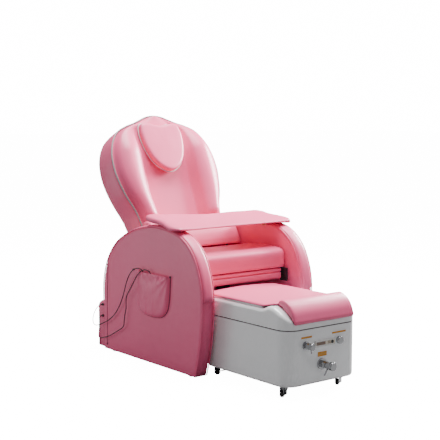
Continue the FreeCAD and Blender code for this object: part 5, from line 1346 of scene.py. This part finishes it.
def tray_board():
    """Rings of (drawn in, share of the thickness) up the edge, then inwards over the top."""
    outline = tray_outline()
    middle = Vector((0, 0.03))
    core = [middle.lerp(point, 0.6) for point in outline]
    rows = [[tray_point(p.x, p.y, 0.0) for p in core]]
    for drawn, share in TRAY_RINGS:
        rows.append([tray_point(p.x, p.y, share) for p in inset(outline, drawn)])
    inner = inset(outline, TRAY_RINGS[-1][0])
    for share in (0.96, 0.92, 0.87, 0.8, 0.72, 0.64, 0.55, 0.45, 0.35, 0.22, 0.1):
        row = []
        for point in inner:
            spot = middle.lerp(point, share)
            swell = 0.05 * noise.noise(Vector((spot.x * 8, spot.y * 8, 6))) * (1 - ramp(0.85, 1.0, share))
            crown = 0.03 * (1 - share) - 0.05 * ramp(0.88, 1.0, share)
            row.append(tray_point(spot.x, spot.y, 1.0 + crown + swell))
        rows.append(row)
    return skin("tray_pad", rows, around=True)


tray = settle(tray_board(), "tray", "pink_leather", pink, "tray_board", fill=0.85)
print(tray.name, len(tray.data.vertices), "points")

# %% [markdown]
# ## Foot bath: sizes and nose
# The foot bath's shell is a solid and stays one, but three soft things are laid on it, and they need
# its sizes. Its front shoulder rises and falls like a nose. That line could be read back from the
# solid's faces. Its four control points give the same curve, and cost nothing.

# %% Sizes and nose of the foot bath
TUB_X, TUB_HALF, TUB_FRONT, TUB_REAR = -0.033, 0.2085, -0.507, 0.040
TUB_BIG, TUB_SMALL, TUB_SEAM = 0.066, 0.040, 0.2838
COVER_HALF, COVER_REAR, COVER_JOIN, COVER_STEP = TUB_HALF - 0.007, TUB_REAR - 0.007, -0.404, -0.362
COVER_LOW, COVER_CROWN, COVER_EDGE = 0.3666, 0.3868, 0.3768
COVER_CORNER, ROLL_HALF, LIFT = 0.030, 0.170, 0.0056
NOSE = [(-0.340, 0.361), (-0.404, 0.375), (-0.471, 0.343), (-0.509, 0.300)]


def nose_line(lift):
    """The foot bath's raised front shoulder from behind to the front, lifted by lift."""
    return [point + Vector((0, lift)) for point in round_line(NOSE, (-1, 0), (-0.25, -0.97), 8)]


def nose_height(y):
    """Height of the shoulder's top at a y behind its crest."""
    (rear_y, rear_z), (crest_y, crest_z) = NOSE[:2]
    return rear_z + (crest_z - rear_z) * ramp(rear_y + 0.012, crest_y - 0.012, y)


print("nose line:", len(nose_line(0.0)), "points")

# %% [markdown]
# ## Foot bath: slab of the cover
# The rear of the cover is a flat padded slab, a little crowned, which steps in where the shoulder rises
# in front. A bevelled board would look hard. Its rings go up from the underside, over a full edge and
# inwards over the top, with the height taken from the crown and the shoulder below it.

# %% Outline and height of the slab
def cover_outline():
    """The slab's outline: a step on each side in front, and round corners at the rear."""
    right = [(ROLL_HALF - 0.006, COVER_JOIN), (ROLL_HALF + 0.002, COVER_JOIN + 0.003)]
    right += [(COVER_HALF - 0.006, COVER_STEP - 0.007), (COVER_HALF - 0.001, COVER_STEP + 0.002)]
    right += [(COVER_HALF, COVER_STEP + 0.012), (COVER_HALF, COVER_REAR - COVER_CORNER)]
    for part in range(1, 6):
        turn = math.pi / 10 * part
        x = COVER_HALF - COVER_CORNER * (1 - math.cos(turn))
        right.append((x, COVER_REAR - COVER_CORNER * (1 - math.sin(turn))))
    ring = right + [(-x, y) for x, y in reversed(right)]
    return denser([Vector((x + TUB_X, y)) for x, y in ring], 0.010)


def cover_point(point, share):
    """A point of the pad from its underside to its crowned top, which rises over the shoulder."""
    across = (point.x - TUB_X) / COVER_HALF
    low = max(COVER_LOW, nose_height(point.y) + LIFT)
    over_shoulder = 0.0065 * ramp(-0.345, -0.400, point.y)
    high = COVER_CROWN - (COVER_CROWN - COVER_EDGE) * across ** 2 + over_shoulder
    return place(point.x, point.y, low + (max(high, low + 0.003) - low) * share)


print("slab's crown at z", round(cover_point(Vector((TUB_X, -0.2)), 1.0).z, 4))

# %% Slab of the cover
SLAB_RINGS = [
    (0.008, 0.0), (0.004, 0.02), (0.001, 0.16), (0.0, 0.38), (0.0004, 0.58), (0.0020, 0.76), (0.0045, 0.89),
]


def cover_slab():
    """Rings of (drawn in, share of the thickness) up the edge, then inwards over the top."""
    outline = cover_outline()
    middle = Vector((TUB_X, -0.17))
    rows = [[cover_point(middle.lerp(p, 0.6), 0.0) for p in outline]]
    rows += [[cover_point(p, share) for p in inset(outline, drawn)] for drawn, share in SLAB_RINGS]
    inner = inset(outline, SLAB_RINGS[-1][0])
    for share in (0.97, 0.94, 0.9, 0.86, 0.81, 0.76, 0.7, 0.62, 0.54, 0.45, 0.35, 0.25, 0.12):
        height = 1.0 - 0.035 * ramp(0.93, 0.99, share)
        rows.append([cover_point(middle.lerp(point, share), height) for point in inner])
    return skin("cover_slab", rows, around=True)


cover = settle(cover_slab(), "cover", "pink_leather", pink, "cover_pad", fill=0.85)
print(cover.name, len(cover.data.vertices), "points")

# %% [markdown]
# ## Foot bath: roll of the cover
# In front the cover ends in a full roll over the shoulder of the foot bath. A bent tube would be round
# underneath too and cut into the shell. The roll is a cushion whose section is full above and in front,
# and whose underside follows the nose line a little above the shell.

# %% Roll of the cover
def roll_section(x):
    """A thick padded sheet: its top and front are full, and its underside follows the shoulder."""
    upper = [
        (-0.4050, 0.3795), (-0.4055, 0.3850), (-0.4120, 0.3955), (-0.4255, 0.4015), (-0.4430, 0.4010),
        (-0.4700, 0.3900), (-0.4980, 0.3620), (-0.5110, 0.3330), (-0.5150, 0.3160), (-0.5125, 0.3095),
    ]
    under = [p for p in reversed(nose_line(0.0014)) if -0.5075 < p.x < -0.406]
    return [*round_line(upper, steps=5), *under]


roll_ends = end_stations(TUB_X - ROLL_HALF, TUB_X + ROLL_HALF, 0.007)
roll = cushion("cover_roll", roll_section, roll_ends, place, 0.0008, 5.0)
settle(roll, "cover", "pink_leather", pink, "roll_pad", fill=0.8)
print(roll.name, len(roll.data.vertices), "points")

# %% [markdown]
# ## Foot bath: seal
# A dark rubber seal shows as a fine line in the joint between the skirt and the bowl. A dark stripe
# could be painted on, but from a low angle a real seal catches light and stands out. So it is a thin
# tube, pressed a little into the joint all the way round.

# %% Seal of the foot bath
SEAL_INSIDE, SEAL_RADIUS = 0.0014, 0.0018


def tub_seal():
    """A dark seal in the joint between the foot bath's skirt and its bowl."""
    left, right = TUB_X - TUB_HALF + SEAL_INSIDE, TUB_X + TUB_HALF - SEAL_INSIDE
    front, rear = TUB_FRONT + SEAL_INSIDE, TUB_REAR - SEAL_INSIDE
    big, small = TUB_BIG - SEAL_INSIDE, TUB_SMALL - SEAL_INSIDE
    corners = [
        (left + big, front + big, big, 180), (right - big, front + big, big, 270),
        (right - small, rear - small, small, 0), (left + small, rear - small, small, 90),
    ]
    line = []
    for x, y, radius, begin in corners:
        for part in range(9):
            turn = math.radians(begin + 90 * part / 8)
            line.append(Vector((x + radius * math.cos(turn), y + radius * math.sin(turn))))
    line = denser(line, 0.02)
    return tube("tub_seal", [place(p.x, p.y, TUB_SEAM) for p in line], SEAL_RADIUS, 8, closed=True)


settle(tub_seal(), "tub", "black_rubber", rubber)
print("seal at z", TUB_SEAM)

# %% [markdown]
# ## Rear panel
# The rear of the chair is closed by an upholstered panel between the arms. It is flat and firm, so it
# could stay a solid. As a cushion it gets the same soft corners as the pads beside it. Its sizes are
# read from the solid's box, so that it fits whatever the part's source says.

# %% Rear panel
PANEL_CORNER = 0.005

panel_low, panel_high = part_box("rear_panel")
rear_panel = cushion(
    "rear_panel_cover",
    strip_section(panel_low.z, panel_high.z, panel_low.y - DATUM, panel_high.y - DATUM, PANEL_CORNER),
    end_stations(panel_low.x, panel_high.x, PANEL_CORNER), place, 0.0, 4.0,
)
settle(rear_panel, "root", "pink_leather", pink, "rear_panel", fill=0.9)
print(rear_panel.name, len(rear_panel.data.vertices), "points")

# %% [markdown]
# ## Rear housing
# Behind the panel sits a low upholstered box that holds the power supply. Its top edge is rounded at
# the rear with a wide radius, and the rest is nearly square. A bevel modifier would round all edges
# alike, so its section is drawn point by point and carried along X as the cushions are.

# %% Rear housing
housing_low, housing_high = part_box("rear_housing")
HOUSING_ROUND, HOUSING_END = 0.036, 0.014


def housing_section(x):
    """The box's section: a wide round at the top of its rear, and a small one at the foot."""
    front, rear = housing_low.y - DATUM + 0.0005, housing_high.y - DATUM
    low, high = housing_low.z, housing_high.z
    points = [(front, low)]
    points += [(front, low + (high - low) * part / 6) for part in range(1, 6)]
    points += [(front, high), (front + 0.020, high)]
    for part in range(7):
        turn = math.pi / 2 * part / 6
        y = rear - HOUSING_ROUND + HOUSING_ROUND * math.sin(turn)
        points.append((y, high - HOUSING_ROUND + HOUSING_ROUND * math.cos(turn)))
    points += [(rear, low + (high - low) * part / 6) for part in (4, 3, 2, 1)]
    points += [(rear, low + 0.006), (rear - 0.003, low + 0.001), (rear - 0.008, low), (rear - 0.040, low)]
    return [Vector(p) for p in reversed(points)]


housing_ends = end_stations(housing_low.x, housing_high.x, HOUSING_END)
housing = cushion("rear_housing_cover", housing_section, housing_ends, place, 0.0, 7.0)
settle(housing, "root", "pink_leather", pink, "rear_housing", fill=0.9)
print(housing.name, len(housing.data.vertices), "points")

# %% [markdown]
# ## Side pocket
# A bag of leather is sewn to the right arm, flat near its edge and fuller below. Gathers run from its
# front rivet, and the two handsets inside press through. A cloth simulation could gather it, but takes
# long and would not end at the sewn edge. So a profile from the edge to the middle gives the
# fullness, and `pocket_relief` adds what stands out or sinks in.

# %% Relief of the pocket
POCKET_FACE = -ARM_HALF - 0.0003
POCKET_TOP, GATHER_DEPTH = 0.4345, 0.0030
POCKET_EDGE = [
    (0.176, POCKET_TOP), (0.180, 0.380), (0.187, 0.320), (0.203, 0.272), (0.240, 0.2425), (0.290, 0.2325),
    (0.345, 0.2325), (0.395, 0.2400), (0.424, 0.2600), (0.4335, 0.300), (0.4345, 0.370), (0.434, POCKET_TOP),
]


def pocket_relief(spot):
    """What stands out or sinks in on the bag: the two handsets and gathers from the front rivet."""
    below = 1 - ramp(0.375, 0.400, spot.y)
    relief = 0.0026 * ramp(0.351, 0.358, spot.x) * (1 - ramp(0.396, 0.402, spot.x)) * below
    relief += 0.0014 * ramp(0.290, 0.302, spot.x) * (1 - ramp(0.336, 0.346, spot.x)) * below
    corner = spot - Vector(POCKET_EDGE[0])
    angle = math.atan2(-corner.y, corner.x)
    near = math.exp(-corner.length / 0.085) * ramp(0, 0.02, corner.length)
    relief += GATHER_DEPTH * math.sin(angle * 15 + 0.6) * near
    relief += 0.0011 * math.sin(spot.x * 175) * ramp(0.36, 0.43, spot.y)
    return relief


print("relief over a handset:", round(pocket_relief(Vector((0.375, 0.33))), 4))

# %% Bag of the pocket
POCKET_PROFILE = [
    (1.0, 0.0012), (0.99, 0.0030), (0.97, 0.0066), (0.94, 0.0100), (0.90, 0.0128), (0.84, 0.0148),
]
for share in (0.77, 0.7, 0.62, 0.54, 0.46, 0.38, 0.3, 0.2, 0.1):
    POCKET_PROFILE.append((share, 0.0150 + 0.0025 * (1 - share)))
MOUTH_PARTS, MOUTH_OPEN, POCKET_FULLEST, POCKET_LEATHER = 60, 0.0158, 0.0215, 0.0016


def side_pocket():
    """Rings from the sewn edge, share 1, to the middle. The mouth along the top stands open."""
    edge = round_line(POCKET_EDGE, steps=8)
    count = len(edge)
    middle = Vector((0.305, 0.335))
    width = edge[0].x - edge[-1].x
    shares = [part / MOUTH_PARTS for part in range(1, MOUTH_PARTS)]
    ring = [*edge, *[Vector((edge[-1].x + width * share, POCKET_TOP)) for share in shares]]
    rows = []
    for share, full in POCKET_PROFILE:
        row = []
        for index, point in enumerate(ring):
            spot = middle.lerp(point, share)
            depth = full
            if index >= count and share > 0.75:
                depth = MOUTH_OPEN + 0.0008 * math.sin(index * 0.45)
            depth += pocket_relief(spot) * min(1.0, depth / 0.01)
            row.append(place(POCKET_FACE - min(depth, POCKET_FULLEST), spot.x, spot.y))
        rows.append(row)
    return skin("pocket_bag", rows, around=True)


pocket = settle(side_pocket(), "root", "pink_leather", pink, "side_pocket")
pocket_leather = pocket.modifiers.new("thickness", "SOLIDIFY")
pocket_leather.thickness = POCKET_LEATHER
pocket_leather.offset = -1
print(pocket.name, len(pocket.data.vertices), "points")

# %% [markdown]
# ## Seams and rivets
# The pocket is sewn down along its edge, and a seam runs up each arm near its rear. Single stitches are
# too fine to be seen from a few metres. What shows is the line of shade where two pieces meet, and a
# thin tube of leather in painted shade is the plainest way to draw it. The two rivets keep their solids, in
# black.

# %% Hem and rivets of the pocket
HEM_OUT, HEM_RADIUS = 0.0010, 0.0014

hem_line = [place(POCKET_FACE - HEM_OUT, p.x, p.y) for p in round_line(POCKET_EDGE, steps=6)]
# the hem is drawn in the seam leather, whose deep red is painted shade
settle(tube("pocket_hem", hem_line, HEM_RADIUS), "root", "pink_leather", seam)
frame["nodes"]["pocket_rivets"].data.materials[0] = painted
print("hem:", len(hem_line), "points")

# %% Seams of the arms
SEAM_Y, SEAM_LOW, SEAM_HIGH, SEAM_RADIUS = 0.716, 0.030, 0.440, 0.0011

for side, outer in (("right", -ARM_HALF), ("left", ARM_HALF)):
    heights = [SEAM_LOW + (SEAM_HIGH - SEAM_LOW) * part / 20 for part in range(21)]
    seam_line = [place(outer, SEAM_Y - 0.010 * ramp(0.20, SEAM_HIGH, z), z) for z in heights]
    # the arm seams take the same painted-shade leather
    settle(tube(f"arm_seam_{side}", seam_line, SEAM_RADIUS, 6), "root", "pink_leather", seam)
print("seams at", SEAM_Y, "m behind the front foot")

# %% [markdown]
# ## Floor and backdrop
# The chair stands in a white studio without corners. A curved sheet behind it is the usual way, and a
# wide floor under a white world looks the same. But a room as bright as that would light the chair from
# all round and from below, and take away its shadows. So floor and backdrop are bright only where they
# are looked at, and throw little light on the chair.

# %% Floor
def seen_directly(tree, direct, otherwise):
    """One value where the surface is looked at, another where it only lights other things."""
    rays = tree.nodes.new("ShaderNodeLightPath")
    node = add_node(tree, "ShaderNodeMapRange", [(0, rays.outputs["Is Camera Ray"])])
    node.inputs[3].default_value = otherwise
    node.inputs[4].default_value = direct
    return node.outputs[0]


FLOOR_REACH = 60
FLOOR_SEEN, FLOOR_BOUNCE, FLOOR_GLOW = 1.0, 0.17, 15.0

floor_mesh = bpy.data.meshes.new("floor")
floor_corners = [(x * FLOOR_REACH, y * FLOOR_REACH, 0) for x, y in ((-1, -1), (1, -1), (1, 1), (-1, 1))]
floor_mesh.from_pydata(floor_corners, [], [(0, 1, 2, 3)])
floor = add_object("floor", floor_mesh)
floor_material = moulded("pale_floor", (0.9, 0.9, 0.9), (0.88, 0.88, 0.88), 0.7, 0.8)
floor.data.materials.append(floor_material)
floor_tree = floor_material.node_tree
floor_shader = floor_tree.nodes["Principled BSDF"]
floor_colour = floor_shader.inputs["Base Color"].links[0].from_socket
lit = seen_directly(floor_tree, FLOOR_SEEN, FLOOR_BOUNCE)
floor_tree.links.new(mixed(floor_tree, lit, (0, 0, 0, 1), floor_colour), floor_shader.inputs["Base Color"])
floor_shader.inputs["Emission Color"].default_value = (1, 1, 1, 1)
floor_tree.links.new(seen_directly(floor_tree, FLOOR_GLOW, 0.0), floor_shader.inputs["Emission Strength"])
print("floor:", 2 * FLOOR_REACH, "m wide")

# %% Backdrop
BACKDROP, AMBIENT = 16.0, 0.40

world = bpy.data.worlds.new("studio")
bpy.context.scene.world = world
world.use_nodes = True
sky = world.node_tree.nodes["Background"]
sky.inputs[0].default_value = (1, 1, 1, 1)
world.node_tree.links.new(seen_directly(world.node_tree, BACKDROP, AMBIENT), sky.inputs[1])
print("backdrop seen at", BACKDROP, "and lighting at", AMBIENT)

# %% [markdown]
# ## Lights
# One large softbox hangs over the chair, a strip stands beyond its left arm, and a faint third light
# reaches the right arm from behind. More lights would fill every shadow. These three were set until the
# tops, the fronts and the sides of the leather were as bright as they should be beside each other.

# %% Three area lights
def area_light(name, spot, target, size, power):
    """A square softbox, its width in metres and its power in watts, turned to a target."""
    data = bpy.data.lights.new(name, "AREA")
    data.size = size
    data.energy = power
    lamp = bpy.data.objects.new(name, data)
    bpy.context.scene.collection.objects.link(lamp)
    lamp.location = spot
    lamp.rotation_mode = "QUATERNION"
    lamp.rotation_quaternion = (target - spot).to_track_quat("-Z", "Y")
    return lamp


SEAT_MIDDLE, BACK_MIDDLE, RIGHT_ARM = place(0, 0.15, 0.5), place(0, 0.6, 0.8), place(-0.33, 0.35, 0.4)
lamps = [
    area_light("overhead", place(0.5, 0.22, 4.0), SEAT_MIDDLE, size=2.4, power=380),
    area_light("right_strip", place(2.2, 0.25, 1.6), BACK_MIDDLE, size=1.0, power=245),
    area_light("left_fill", place(-2.1, 1.9, 0.6), RIGHT_ARM, size=1.6, power=16),
]
print("lights:", [lamp.name for lamp in lamps])
